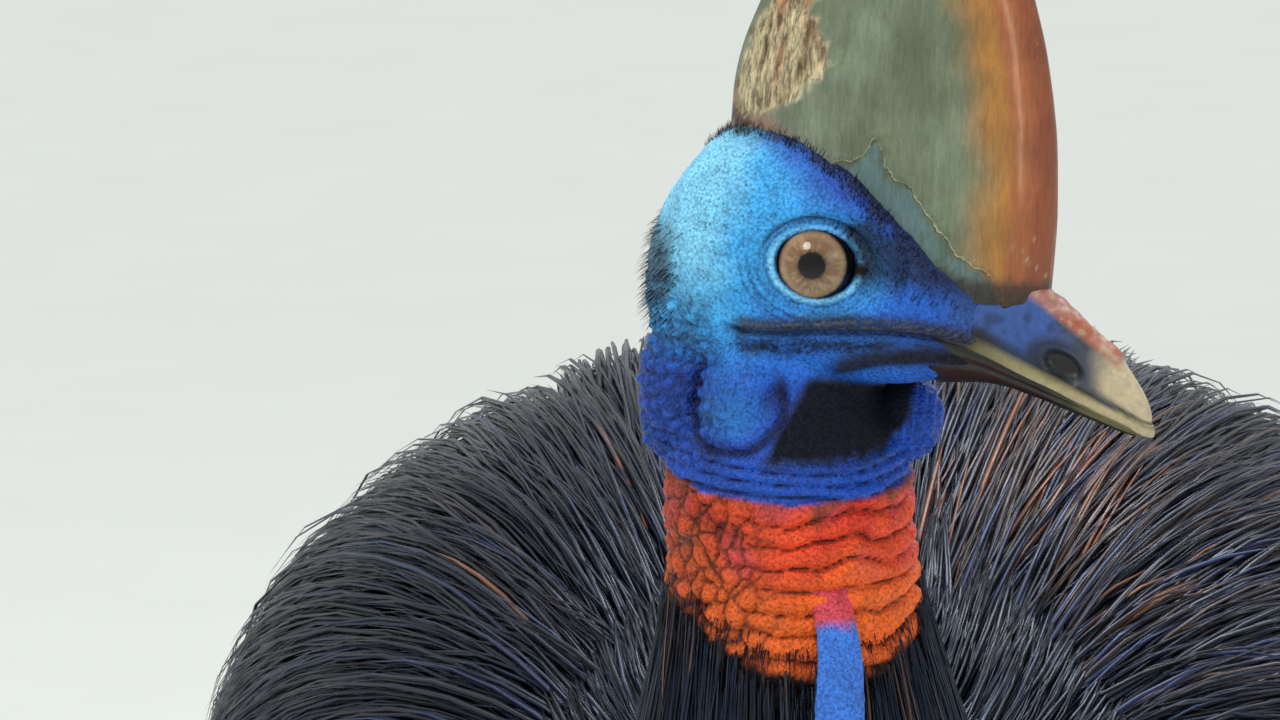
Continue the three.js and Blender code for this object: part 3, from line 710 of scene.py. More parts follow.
def casque_section(up):
    """The middle, half length and half width of the casque at a height on the head."""

    def edge(start, low):
        rise = np.clip((up - low) / (CASQUE["top"] - low), 0, 1)
        bow = (rise**1.85 + 1 - np.sqrt(1 - rise**2.1)) / 2
        return start + (CASQUE["peak"] - start) * 0.985 * bow

    low = CASQUE["front_from"]
    front, back = edge(CASQUE["front"], low), edge(CASQUE["back"], CASQUE["back_from"])
    flank = np.clip((up - low) / (CASQUE["top"] - low), 0, 1)
    half = CASQUE["half"] + (CASQUE["crest"] - CASQUE["half"]) * flank
    return (front + back) / 2, (front - back) / 2, half * np.sqrt(1 - 0.9 * flank**7)


def casque_rim(f, l, u):
    """How far out from the casque's own axis places on the head are: 1 is at its surface."""
    middle, long, half = casque_section(np.clip(u, CASQUE["foot"], CASQUE["rim_top"]))
    return np.hypot((f - middle) / long, l / half)


BROW = {"crease": 17.2, "bulge": 23.0}
GAPE_BACK = -29
HEM = {"front": 975, "side": 993, "turn": 0.37}
SAG = 8.0
ROLLS = {"top": 1044, "count": 3, "depth": 2.3}
PALE_CYAN = tint("#8fdcf8")
CYAN = tint("#3cabf0")
AZURE = tint("#2272dc")
COBALT = tint("#1545b4")
# Navy for the painted shade in the head's creases, dips and grooves
NAVY_SHADE = tint("#07164a")
SOOT = tint("#0b0b0d")
THROAT_BLACK_AND_SHADOW = tint("#030305")
FACE_BLUE = tint("#30549a")
LIP_HIGHLIGHT_GREY = tint("#57534d")
NAPE_GREY = tint("#33454c")
TURQUOISE = tint("#54bfc6")
ORANGE = tint("#fb6c1c")
FLAME = tint("#f24e22")
SCARLET = tint("#d9321f")
ROSE = tint("#df4a58")
UMBER = tint("#7a3c1a")
# Dark red for the painted shade in the collar's creases
EMBER_SHADE = tint("#3a0d08")
HIDE = tint("#0c0a0a")


def hem_height(angle):
    """The height where the collar's red skin ends, lowest in front."""
    return HEM["side"] + (HEM["front"] - HEM["side"]) * ease(np.cos(angle - HEM["turn"]), 0.1, 1)


def skin_places(mesh):
    """Opens the lids, and gives each point's places on the head and neck and its noises."""
    points, ring, fore, up = open_lids(smoothed(mesh, points_of(mesh), SMOOTHING_ROUNDS))
    points = smoothed(mesh, points, 1, 0.5)
    set_points(mesh, points)
    at = SimpleNamespace(points=points, out=normals_of(mesh), ring=ring, fore=fore, up=up)
    at.f, at.l, at.u = head_places(points)
    at.theta, at.z = neck_places(points)
    at.side = np.abs(at.l)
    at.head_part = ease(at.z, HEAD_FOOT["low"], HEAD_FOOT["high"])
    at.sag = SAG * 0.5 * (1 + np.cos(at.theta - HEM["turn"]))
    at.wave = rumple(points, 9.0)
    at.fine = rumple(points, 3.2, 7.0)
    at.broad = rumple(points, 24.0, 3.0)
    at.crinkle = lumps(points * (1, 1, 1.5), 5.0)
    return at


def eye_folds(at):
    """A crease over the brow, a bulging brow, and rings of loose folds beneath the eye."""
    ring, up = at.ring, at.up
    at.over = ease(up, -2, 8)
    at.beside_eye = ease(at.side, 8, 16) * at.head_part
    at.brow_line = np.exp(-(((ring - BROW["crease"]) / 0.8) ** 2))
    push = -0.9 * at.brow_line * (0.3 + 0.7 * at.over)
    push += 0.9 * hump(ring, BROW["bulge"], 7) * at.over
    at.rings_below = np.cos((ring + 0.9 * at.wave - 17) * 2 * np.pi / 2.7)
    at.folds_below = hump(ring, 21, 6.5) * ease(-up, -3, 6) * ease(-at.fore, -26, -10)
    push += 0.38 * at.rings_below * at.folds_below
    return push * at.beside_eye * (ring > LID["round"] + LID["half"])


def mouth_folds(at):
    """A line between the lips. The upper lip runs back to the gape, and the lower stops short."""
    f = at.f
    from_line, from_lower = at.u - level(MOUTH, f), at.u - level(LOWER_LIP, f)
    flank = ease(at.side, 4, 10)
    along_mouth = ease(f, GAPE_BACK - 2, GAPE_BACK + 4) * flank * at.head_part
    along_lower = ease(f, 0, 8) * flank * at.head_part
    push = -1.8 * np.exp(-((from_line / 0.9) ** 2)) * along_mouth
    push -= 1.6 * hump(f, GAPE_BACK + 1, 5) * hump(from_line, 0, 3) * flank
    push += 1.5 * np.exp(-(((from_line - 3.0) / 1.9) ** 2)) * along_mouth
    creases = np.cos(from_line * 2 * np.pi / 1.7 + at.wave)
    push += 0.35 * creases * hump(from_line, 2.5, 4) * along_mouth
    push += 1.2 * np.exp(-((from_lower / 2.6) ** 2)) * along_lower
    push -= 0.8 * np.exp(-(((from_lower + 4.2) / 1.2) ** 2)) * along_lower
    at.from_line, at.from_lower, at.along_lower, at.creases = from_line, from_lower, along_lower, creases
    return push


def cheek_folds(at):
    """Wrinkles behind the eye, crinkled folds on the nape, and the dip round the jowl."""
    f, l, u, wave = at.f, at.l, at.u, at.wave
    behind = ease(-at.fore, 13, 22) * hump(at.up, -5, 24) * at.beside_eye
    push = 0.28 * np.sin((np.arctan2(at.up, -at.fore) * 30) + 3 * wave) * behind
    at.nape = ease(-f - 0.25 * u, 34, 50) * ease(-u, 8, 26) * at.head_part
    push += at.nape * (0.5 * np.sin(at.z * 2 * np.pi / 6.5 + 2.6 * wave) + 1.3 * (at.crinkle - 0.5))
    from_jowl = (np.stack([f, l, u], -1) - JOWL_EDGE["place"]) / JOWL_EDGE["radii"]
    at.lobe = np.linalg.norm(from_jowl, axis=-1) + 0.06 * wave
    low_right = ease(-u, 34, 46) * ease(-l, 4, 12)
    at.moat = np.exp(-(((at.lobe - 1.1) / 0.09) ** 2)) * low_right * at.head_part
    at.dent = hump(f, -12, 5) * hump(u, -46, 8) * ease(-l, 8, 16) * at.head_part
    push -= 1.6 * at.moat + 1.2 * at.dent
    at.across = THROAT_WAY["f"] * f + THROAT_WAY["l"] * l + THROAT_WAY["u"] * u
    at.slant = at.across + 1.6 * (-u - 42) + 14 * at.broad + 6 * wave
    at.far_lobe = ease(at.slant, 58, 68) * ease(-u, 40, 44)
    push += 0.5 * np.sin((f + 0.4 * l) * 2 * np.pi / 3.4 + wave) * at.far_lobe * at.head_part
    pouch = ease(-u, 24, 40) * at.head_part
    return push + 0.45 * wave * pouch + 0.18 * at.fine * at.head_part * (at.ring > LID["outer"] - 8)


def throat_rolls(at):
    """Rolls of blue skin that hang over the red collar."""
    place = (ROLLS["top"] - at.z - at.sag - 2 * at.broad) / (ROLLS["top"] - COLLAR_TOP - 3)
    at.rolling = ease(place, -0.1, 0.15) * ease(-place, -1.12, -1.0)
    at.rolling = at.rolling * ease(np.cos(at.theta - 0.1), -0.65, -0.1)
    at.roll = np.abs(np.sin(np.pi * np.clip(place, 0, 1) * ROLLS["count"])) ** 0.6
    return at.rolling * (ROLLS["depth"] * (at.roll - 0.35) + 0.7 * (at.crinkle - 0.5))


def collar_folds(at):
    """Rings of red skin that sag in front and break up into warts on the right side."""
    theta, wave = at.theta, at.wave
    depth = COLLAR_TOP + 4 - at.z - at.sag + 2.0 * wave + 4.2 * at.broad
    at.place = depth / (COLLAR_TOP - COLLAR_FOOT + 12)
    on_collar = ease(at.place, -0.02, 0.03) * ease(-at.z, -HEAD_FOOT["high"], -HEAD_FOOT["low"])
    at.fold = np.abs(np.sin(np.pi * np.clip(at.place, 0, 1.6) * FOLDS)) ** 0.45
    warty = np.maximum(ease(-theta + 0.1 * wave, -0.15, 0.5), 0.25 * ease(theta, 1.5, 2.3))
    at.warty, at.wart = warty, lumps(at.points + 1.2 * at.out, 7.0)
    push = FOLD_DEPTH * 1.5 * (at.fold - 0.55) * (1 - 0.6 * warty)
    push += 3.0 * (at.wart - 0.5) * warty + (0.5 * at.fine + 0.7 * wave) * (1 - warty)
    push += 0.22 * np.cos(theta * 60 + 4 * wave) * (1 - warty)
    return on_collar * push


def head_paint(at):
    """Pale behind the eye, deep blue under the casque and on the throat, with navy painted shade in the
    creases, dips and grooves.
    """
    f, u, ring, wave = at.f, at.u, at.ring, at.wave
    beside, over = at.beside_eye, at.over
    crown = ease(u + 0.5 * f + 3 * wave, 14, 26) * ease(f, -44, -22)
    glow = np.exp(-(((ring - 17) / 5.5) ** 2)) * beside
    on_lid = hump(ring, LID["round"] + 0.4, 1.35) * beside
    lid_edge = np.exp(-(((ring - LID["round"] - 2.2) / 0.4) ** 2)) * beside
    margin = ease(-ring, -LID["inner"] - 0.7, -LID["inner"] - 0.1) * beside
    corner = hump(at.fore, 14, 4.2) * hump(at.up, -0.3, 3.4)
    rim_back = ease(-np.cos(at.theta), 0.55, 0.85) * ease(-u, 16, 30)
    layers = [
        (CYAN, ease(0.35 * u - f + 6 * wave, -2, 30) * ease(u + 2 * wave, -50, -22)),
        (PALE_CYAN, 0.75 * ease(-f + 0.1 * u + 6 * wave, 22, 44) * ease(u, -30, 0)),
        (COBALT, 0.85 * crown * ease(-f, -44, -20)),
        (COBALT, 0.45 * ease(f + 3 * wave, 18, 36)),
        (FACE_BLUE, 0.9 * ease(f + 2 * wave, 36, 46)),
        (COBALT, 0.8 * ease(-u + 3 * wave, 32, 46)),
        (CYAN, 0.7 * ease(-at.lobe, -1.02, -0.4)),
        # painted shade: navy in the dip round the right jowl and in the dent near it
        (NAVY_SHADE, 0.85 * at.moat + 0.4 * at.dent),
        (CYAN, 0.6 * glow),
        (PALE_CYAN, (0.9 - 0.45 * over) * on_lid),
        # painted shade: navy in the groove round the lid's bead, in the brow crease and in the troughs of
        # the folds below the eye
        (NAVY_SHADE, 0.7 * lid_edge),
        (NAVY_SHADE, 0.9 * at.brow_line * beside * (0.35 + 0.65 * over)),
        (NAVY_SHADE, 0.5 * at.folds_below * ease(-at.rings_below, 0.2, 0.9) * beside),
        (SOOT, np.maximum(margin, 1.6 * corner * beside)),
        (TURQUOISE, 0.85 * rim_back),
        # painted shade: navy in the creases between the nape's crinkles, wherever the skin is pressed in,
        # and between the rolls over the collar
        (NAVY_SHADE, at.nape * (0.75 - 0.75 * at.crinkle) * (1 - 0.5 * rim_back)),
        (NAVY_SHADE, np.clip(-0.4 * at.push, 0, 0.8) * at.head_part * (ring > LID["outer"] - 9)),
        (NAVY_SHADE, at.rolling * ease(-at.roll, -0.5, -0.1)),
    ]
    return layered(AZURE, layers)


def dark_paint(at, paint):
    """The lips with grey painted highlights on their creases' crests, the throat's black skin deepened by
    painted shadow, and the dark grounds of nape and casque foot.
    """
    f, u, from_line = at.f, at.u, at.from_line
    ragged = 2.5 * at.wave + 1.5 * at.fine
    on_lip = ease(f, GAPE_BACK - 1, GAPE_BACK + 6) * ease(at.side, 3, 8) * at.head_part
    upper_lip = np.exp(-(((from_line - 2.4) / 3.5) ** 4)) * on_lip
    lower_lip = np.exp(-((at.from_lower / 3.6) ** 4)) * at.along_lower
    streaks = ease(rumple(at.points * (1, 1, 4.0), 7.0, 12.0), -0.25, 0.25)
    crest = ease(at.creases, 0.1, 0.8) * hump(from_line, 3.0, 3.4)
    low_edge = ease(at.z - 0.6 * ragged, 1030, 1038)
    # The throat between the jowls: black skin, darkened further as painted shadow
    throat = ease(f + ragged, -20, -12) * ease(-u - 0.1 * f, 36, 41) * low_edge
    throat = throat * ease(at.lobe, 1.0, 1.14) * (1 - at.far_lobe)
    throat = throat * ease(at.slant, -66, -46)
    wisps = hump(at.across, -4, 12) * hump(u, -66, 9) * ease(at.crinkle, 0.55, 0.8)
    patch = ease(-f + ragged, 49, 56) * hump(u, -10, 20)
    rim = casque_rim(f, at.l, u)
    layers = [
        (SOOT, 0.85 * upper_lip),
        # painted highlight: grey on the raised crests of the upper lip's creases
        (LIP_HIGHLIGHT_GREY, 0.8 * upper_lip * crest),
        (SOOT, (0.4 + 0.4 * streaks) * hump(from_line, -4.5, 5.5) * on_lip),
        (SOOT, 0.95 * lower_lip),
        (SOOT, 0.9 * hump(f, GAPE_BACK + 2, 6) * hump(from_line, -1, 3.5) * on_lip),
        # black throat skin and painted shadow in one
        (THROAT_BLACK_AND_SHADOW, 0.98 * throat),
        (COBALT, 0.7 * wisps * throat),
        (NAPE_GREY, 0.75 * patch),
        (SOOT, 0.85 * ease(-rim - 0.03 * ragged, -1.17, -1.02) * ease(u, -12, 0)),
    ]
    return layered(paint, layers)


def collar_paint(at):
    """Pink and scarlet above, orange below, brown warts, and dark red painted shade between the warts and
    in the folds' troughs.
    """
    theta, wave, place, warty, wart = at.theta, at.wave, at.place, at.warty, at.wart
    rosy = ease(rumple(at.points, 13, 11.0), 0.1, 0.5)
    layers = [
        (SCARLET, 0.8 * ease(at.broad + 0.5 * wave, -0.1, 0.4) * ease(-place, -0.6, -0.2)),
        (ROSE, 0.7 * rosy * ease(-place, -0.8, -0.4)),
        (ORANGE, 0.95 * ease(place + 0.3 * at.broad, 0.35, 0.8)),
        (UMBER, 0.75 * ease(-place + 0.2 * wave, -0.12, 0.0)),
        (UMBER, warty * (0.5 + 0.5 * ease(-theta, 0.5, 1.1)) * (0.95 - 0.6 * wart)),
        # painted shade: dark red in the creases between the warts and in the troughs of the folds
        (EMBER_SHADE, 0.8 * warty * ease(-wart, -0.42, -0.12)),
        (EMBER_SHADE, 0.92 * ease(-at.fold, -0.58, -0.25) * (1 - 0.7 * warty)),
        (TURQUOISE, 0.8 * ease(-np.cos(theta), 0.75, 0.95) * ease(at.z, 1000, 1016)),
    ]
    return layered(FLAME, layers)


def sculpt(mesh):
    """Presses the folds into the skin and paints it. Returns its points, colours and ways out."""
    at = skin_places(mesh)
    at.push = eye_folds(at) + mouth_folds(at) + cheek_folds(at) + throat_rolls(at) + collar_folds(at)
    at.points = at.points + at.out * at.push[:, None]
    on_collar = ease(COLLAR_TOP + 1.5 - at.sag + 1.8 * at.wave - at.z, -0.6, 0.6)
    under_feathers = ease(hem_height(at.theta) - 8 - at.z + 2 * at.fine, -1.5, 3)
    paint = blend(collar_paint(at), on_collar, dark_paint(at, head_paint(at)))
    return at.points, blend(HIDE, under_feathers, paint), at.out


def grid_of(mesh):
    """The corners of a mesh of quads."""
    corners = np.zeros(len(mesh.loops), np.int32)
    mesh.loops.foreach_get("vertex_index", corners)
    return corners.reshape(-1, 4)


def skin_material(name, pores_apart, pore_depth):
    """Skin: pebbled, finely creased, with dark pores and painted shade between the pebbles, in the colours
    painted on its points.
    """
    hide = Nodes(name)
    paint = hide.read("paint", "Color")
    place = hide.place()
    pebbles = hide.cells(860, place, "SMOOTH_F1")
    # painted shade: darker in the crevices between the pebbles, a little lighter on their tops
    crevice_shade = hide.ramp(pebbles, [(0.25, 1.12), (0.8, 0.5)])
    drift = hide.ramp(hide.noise(120, 4, 0.6, place), [(0.3, 0.75), (0.7, 1.3)])
    pores = hide.ramp(hide.cells(1000 / pores_apart, place), [(0.14, pore_depth), (0.3, 1.0)])
    colour = hide.mix(0.75, paint, crevice_shade, "MULTIPLY")
    colour = hide.mix(0.75, colour, drift, "MULTIPLY")
    colour = hide.mix(0.8, colour, pores, "MULTIPLY")
    hide.bump(pebbles, -0.0006, 0.9)
    hide.bump(hide.noise(240, 5, 0.65, place), 0.0006, 0.6)
    wet = hide.ramp(pebbles, [(0.2, 0.4), (0.8, 0.62)])
    dull = hide.ramp(paint, [(0.0, 0.45), (0.02, 0.0)])
    return hide.finish(colour, hide.sum(wet, dull), Specular_IOR_Level=0.32)


def skin():
    fine = head_and_neck()
    points, paint, out = sculpt(fine)
    under = under_coat()
    under_points = points_of(under)
    faces = np.vstack([grid_of(fine), grid_of(under) + len(points)])
    mesh = bpy.data.meshes.new("skin")
    mesh.from_pydata((np.vstack([points, under_points]) * MM).tolist(), [], faces.tolist())
    mesh.shade_smooth()
    dark = np.tile(HIDE, (len(under_points), 1))
    store(mesh, "paint", np.vstack([paint, dark]))
    nodes = ["head", "neck_upper", "neck_middle", "neck_base", "torso", "rump"]
    nodes += ["thigh_left", "thigh_right"]
    piece("skin", mesh, skin_material("skin", pores_apart=1.7, pore_depth=0.35), nodes)
    for spare in (fine, under):
        bpy.data.meshes.remove(spare)
    return points, out


skin_points, skin_out = skin()


# Casque: a keel of hollow horn on the crown, fibrous like a nail. It is olive with an orange
# keel in front, and old layers peel off it in ragged sheets. Lofted through its sections, with
# the layers' edges and the fibres raised on it.
CASQUE_RINGS = {"rows": 170, "round": 200}
KEEL_BAND = 15.0
PEEL_EDGE = [[-50, 17], [-26, 25], [-6, 27], [-1, 32], [6, 33], [11, 40], [15, 33], [19, 29]]
PEEL_EDGE += [[24, 27], [29, 21], [38, 11], [46, 5], [54, -2], [57, -14], [70, -30]]
STRAW_EDGE = [[36, -40], [42, -30], [50, -17], [58, -11], [67, -9], [73, -16], [82, -18], [98, -26]]
CASQUE_BASE = [[-50, 43], [-42, 40], [-11, 28], [6, 21], [20, 13], [30, 4], [51, -5], [67, -8]]
STRAW = {"top": 96, "foot": 40, "rim": 3.5}
OLIVE = tint("#707c62")
SAGE = tint("#8b9981")
MOSS = tint("#566349")
AMBER = tint("#b97a2c")
SALMON = tint("#a85c38")
RUSSET = tint("#8b4526")
PEACH_HIGHLIGHT = tint("#d9a27c")
STRAW_PALE = tint("#cdbd95")
STRAW_DARK = tint("#7d6844")
SLATE = tint("#5f7d80")
ASHEN = tint("#85867a")
PINK_FOOT = tint("#b07a66")
BONE = tint("#c9c3a0")
BARK = tint("#2e2620")


def casque_places(points):
    """Where points of the casque lie on it, and the noises that its horn is worn by."""
    at = SimpleNamespace()
    at.f, l, at.u = head_places(points)
    middle, long, _ = casque_section(at.u)
    at.front, at.back = (middle + long) - at.f, at.f - (middle - long)
    flat = np.stack([at.f, l, at.u], -1)
    at.streak = rumple(flat * (1, 1, 0.12), 2.6)
    at.wide = rumple(flat * (1, 1, 0.3), 11.0, 5.0)
    at.cloud = rumple(flat * (1, 1, 0.5), 22.0, 3.0)
    at.wave = rumple(flat, 14.0, 2.0)
    at.crisp = rumple(flat, 4.0, 9.0)
    at.grit = rumple(flat, 1.7, 6.0)
    at.fibre = rumple(flat * (1, 1, 0.14), 2.0, 4.0)
    at.chips = rumple(flat, 7.0, 6.0)
    return at


def peel_casque(at):
    """Where old layers have come off: how far below their edge, and where straw is bared."""
    crisp, wave, fibre = at.crisp, at.wave, at.fibre
    at.below_edge = level(PEEL_EDGE, at.f) + 1.8 * crisp + 1.6 * wave + 0.8 * at.grit - at.u
    at.peeled = ease(at.below_edge, -0.5, 0.5)
    over_foot = at.u - (STRAW["foot"] + 5 * crisp + 4 * wave + 4 * fibre)
    behind_front = level(STRAW_EDGE, at.u) + 4 * crisp + 4 * wave + 3 * fibre - at.f
    straw = ease(over_foot, -1, 1.5) * ease(behind_front, -0.8, 0.8)
    straw = straw * ease(at.back - STRAW["rim"] - 4 * crisp - 2 * wave, -1, 1.5)
    at.straw = straw * ease(STRAW["top"] + 8 * crisp - at.u, -2, 4)
    at.straw_lip = np.exp(-((behind_front / 0.9) ** 2)) * ease(over_foot, 0, 3)


def casque_push(at):
    """How far the layers, the fibres and the chips in the keel stand out."""
    lip = np.exp(-(((at.below_edge + 0.6) / 1.1) ** 2))
    push = 0.14 * at.streak + 0.5 * at.wide - 0.7 * at.peeled + 0.7 * lip
    push += at.straw * (0.5 * at.fibre + 0.5 * at.crisp - 0.3) + 0.7 * at.straw_lip
    return push + 0.4 * hump(at.front, 6, 5) * at.chips


def casque_paint(at):
    """Olive with an orange keel and a painted highlight line down it, slate and straw where it has peeled,
    dark at its foot.
    """
    f, u, front, crisp, wave, straw = at.f, at.u, at.front, at.crisp, at.wave, at.straw
    above = u - level(CASQUE_BASE, f)
    amber = ease(-front - 3 * wave - 3 * at.cloud - at.streak, -KEEL_BAND - 15, -KEEL_BAND + 3)
    ashes = ease(-above - 2 * crisp, -13, -5) * ease(-f, -8, 6)
    foot_flush = ease(-above - 2 * crisp, -9, -4) * ease(-f, 16, 26)
    scuffs = ease(at.grit + crisp, 0.62, 0.8) * ease(-front, -14, -3) * ease(-u, -36, -8)
    specks = ease(-above, -7, 0) * ease(at.grit + 0.5 * ease(-above, -3, 1), 0.0, 0.3)
    layers = [
        (SAGE, 0.5 * ease(at.cloud + 0.6 * at.streak, -0.1, 0.6)),
        (MOSS, 0.5 * ease(-at.cloud - 0.7 * at.wide - 0.5 * at.streak, -0.1, 0.6)),
        (AMBER, 0.9 * amber),
        (SALMON, 0.85 * ease(-front - wave, -13.5, -9)),
        (RUSSET, 0.8 * ease(-front - 1.5 * crisp, -7, -3)),
        # painted highlight: a pale line down the keel near its front edge
        (PEACH_HIGHLIGHT, 0.55 * np.exp(-(((front - 8.5 - wave) / 0.9) ** 2)) * ease(u, 20, 40)),
        (SLATE, at.peeled * 0.85 * ease(at.below_edge, 0.5, 2)),
        (MOSS, at.peeled * ease(at.wide + crisp, 0.05, 0.5) * 0.6),
        (ASHEN, 0.75 * ashes),
        (STRAW_PALE, 0.95 * straw),
        (STRAW_DARK, 0.85 * straw * ease(-at.fibre - 0.4 * crisp, 0.0, 0.35)),
        (SALMON, 0.6 * straw * ease(at.wide + 0.02 * (u - 70), 0.0, 0.4)),
        (BONE, 0.4 * at.straw_lip),
        (PINK_FOOT, 0.55 * foot_flush * (1 - straw)),
        (BONE, 0.5 * scuffs),
        (BARK, 0.6 * ease(-at.back - crisp, -3, 0)),
        (BARK, 0.8 * specks),
        (BARK, 0.85 * ease(-u + 1.5 * crisp, -3, 2)),
    ]
    return layered(OLIVE, layers)


def casque():
    rise = np.sin(np.linspace(0, np.pi / 2, CASQUE_RINGS["rows"]))
    up = (CASQUE["foot"] + (CASQUE["top"] - CASQUE["foot"]) * rise)[:, None]
    a = ring_angles(CASQUE_RINGS["round"])[None]
    middle, long, half = casque_section(up)
    keel = 1 - 0.3 * np.maximum(0, np.cos(a)) ** 2
    across = half * keel * power(np.sin(a), 0.85)
    mesh = mesh_of("casque", [loft(on_head(middle + long * np.cos(a), across, up))])
    points, out = points_of(mesh), normals_of(mesh)
    at = casque_places(points)
    peel_casque(at)
    set_points(mesh, points + out * casque_push(at)[:, None])
    store(mesh, "paint", casque_paint(at))
    store(mesh, "peel", np.clip(at.below_edge / 12 + 0.5, 0, 1))
    store(mesh, "peel_shown", ease(at.u + 1.5 * at.crisp, -2, 3))
    store(mesh, "straw", at.straw)
    store(mesh, "dull", np.clip(at.straw + 0.6 * at.peeled + 0.35 * ease(at.front, 16, 30), 0, 1))
    piece("casque_horn", mesh, casque_material(), ["casque"])


def casque_material():
    """Horn: long fibres under a worn gloss, rough and dry where it has peeled."""
    horn = Nodes("casque_horn")
    place = horn.place()
    stretched = horn.add("ShaderNodeMapping", Vector=place, Scale=(1, 1, 0.12)).outputs[0]
    fibres = horn.noise(900, 4, 0.6, stretched)
    clouds = horn.noise(70, 4, 0.6, place)
    patchy = horn.ramp(clouds, [(0.35, 0.8), (0.65, 1.15)])
    colour = horn.mix(0.7, horn.grained(fibres, 0.5, 0.7, 1.25), patchy, "MULTIPLY")
    ragged = horn.sum(horn.sum(horn.noise(240, 5, 0.75, place), -0.5), 0.34, "MULTIPLY")
    peel, shown = horn.sum(horn.read("peel"), ragged), horn.read("peel_shown")
    lip = horn.ramp(peel, [(0.44, 0.0), (0.465, 0.8), (0.485, 0.8), (0.5, 0.0)])
    broken = horn.ramp(horn.noise(110, 3, 0.6, place), [(0.4, 0.2), (0.55, 1)])
    lip = horn.mix(1.0, horn.mix(1.0, lip, broken, "MULTIPLY"), shown, "MULTIPLY")
    shadow = horn.ramp(peel, [(0.485, 1.0), (0.5, 0.4), (0.56, 1.0)])
    shaded = horn.mix(shown, colour, horn.mix(1.0, colour, shadow, "MULTIPLY"))
    colour = horn.mix(lip, shaded, BONE)
    strips = horn.add("ShaderNodeMapping", Vector=place, Scale=(1, 1, 0.2)).outputs[0]
    torn = horn.ramp(horn.noise(620, 5, 0.75, strips), [(0.4, 0.3), (0.52, 1.0), (0.66, 1.35)])
    colour = horn.mix(horn.read("straw"), colour, horn.mix(1.0, colour, torn, "MULTIPLY"))
    rough = horn.sum(
        horn.sum(horn.read("dull"), 0.4, "MULTIPLY"), horn.sum(clouds, 0.22, "MULTIPLY")
    )
    horn.bump(torn, 0.0006, 0.6)
    horn.bump(fibres, 0.0004, 0.5)
    horn.bump(horn.noise(300, 4, 0.6, place), 0.0005, 0.4)
    return horn.finish(colour, horn.sum(rough, 0.12), Specular_IOR_Level=0.5)


casque()


# Bill: a bony core in a sheath of horn. The upper half has a rough pink ridge, a pale hooked
# tip, an olive cutting edge and a deep oval nostril, and the face's blue skin runs out on it.
# The lower half is black. Both are lofted through sections and then carved point by point.
BILL_ROOT = 34
BILL_RINGS = {"rows": 110, "round": 104}
BILL = [
    [34, 14, -19, -38, 19],
    [50, 6, -23, -35.5, 15],
    [62, 0, -27.5, -36.5, 12],
    [78, -10, -33, -40, 8.8],
    [92, -19.5, -38, -43, 6.2],
    [100, -28, -41, -44.5, 4.2],
    [104, -34, -43, -45, 2.6],
    [106, -40, -43.5, -45, 1],
]
UPPER_TIP, LOWER_TIP = 106, 101
NOSTRIL = {"f": 77, "u": -24, "long": 8.2, "high": 4.4, "pitch": math.radians(27)}
RIDGE_END = 95
BILL_GREY = tint("#3d4450")
PINK = tint("#ad7466")
EMBER = tint("#a3552f")
CREAM = tint("#c2b190")
BRASS = tint("#8a8152")
PITCH = tint("#131310")


def bill_half(name, tip, high, low, arched):
    share = 1 - (1 - np.linspace(0, 1, BILL_RINGS["rows"])) ** 1.6
    f = (BILL_ROOT + (tip - BILL_ROOT) * share)[:, None]
    row = between(BILL, f[:, 0])
    top, foot, half = high(row)[:, None], low(row)[:, None], row[:, 3][:, None]
    a = ring_angles(BILL_RINGS["round"])[None]
    rise = np.maximum(0, np.cos(a)) if arched else np.minimum(1, 1 + np.cos(a))
    across = half * power(np.sin(a), 0.9)
    return mesh_of(name, [loft(on_head(f, across, foot + (top - foot) * rise**0.8))])


def nostril_ring(f, u):
    """How far out from the nostril's middle places on the bill are: 1 is at its edge."""
    pitch = NOSTRIL["pitch"]
    along, above = f - NOSTRIL["f"], u - NOSTRIL["u"]
    lengthwise = along * math.cos(pitch) - above * math.sin(pitch)
    upward = along * math.sin(pitch) + above * math.cos(pitch)
    return np.hypot(lengthwise / NOSTRIL["long"], upward / NOSTRIL["high"])


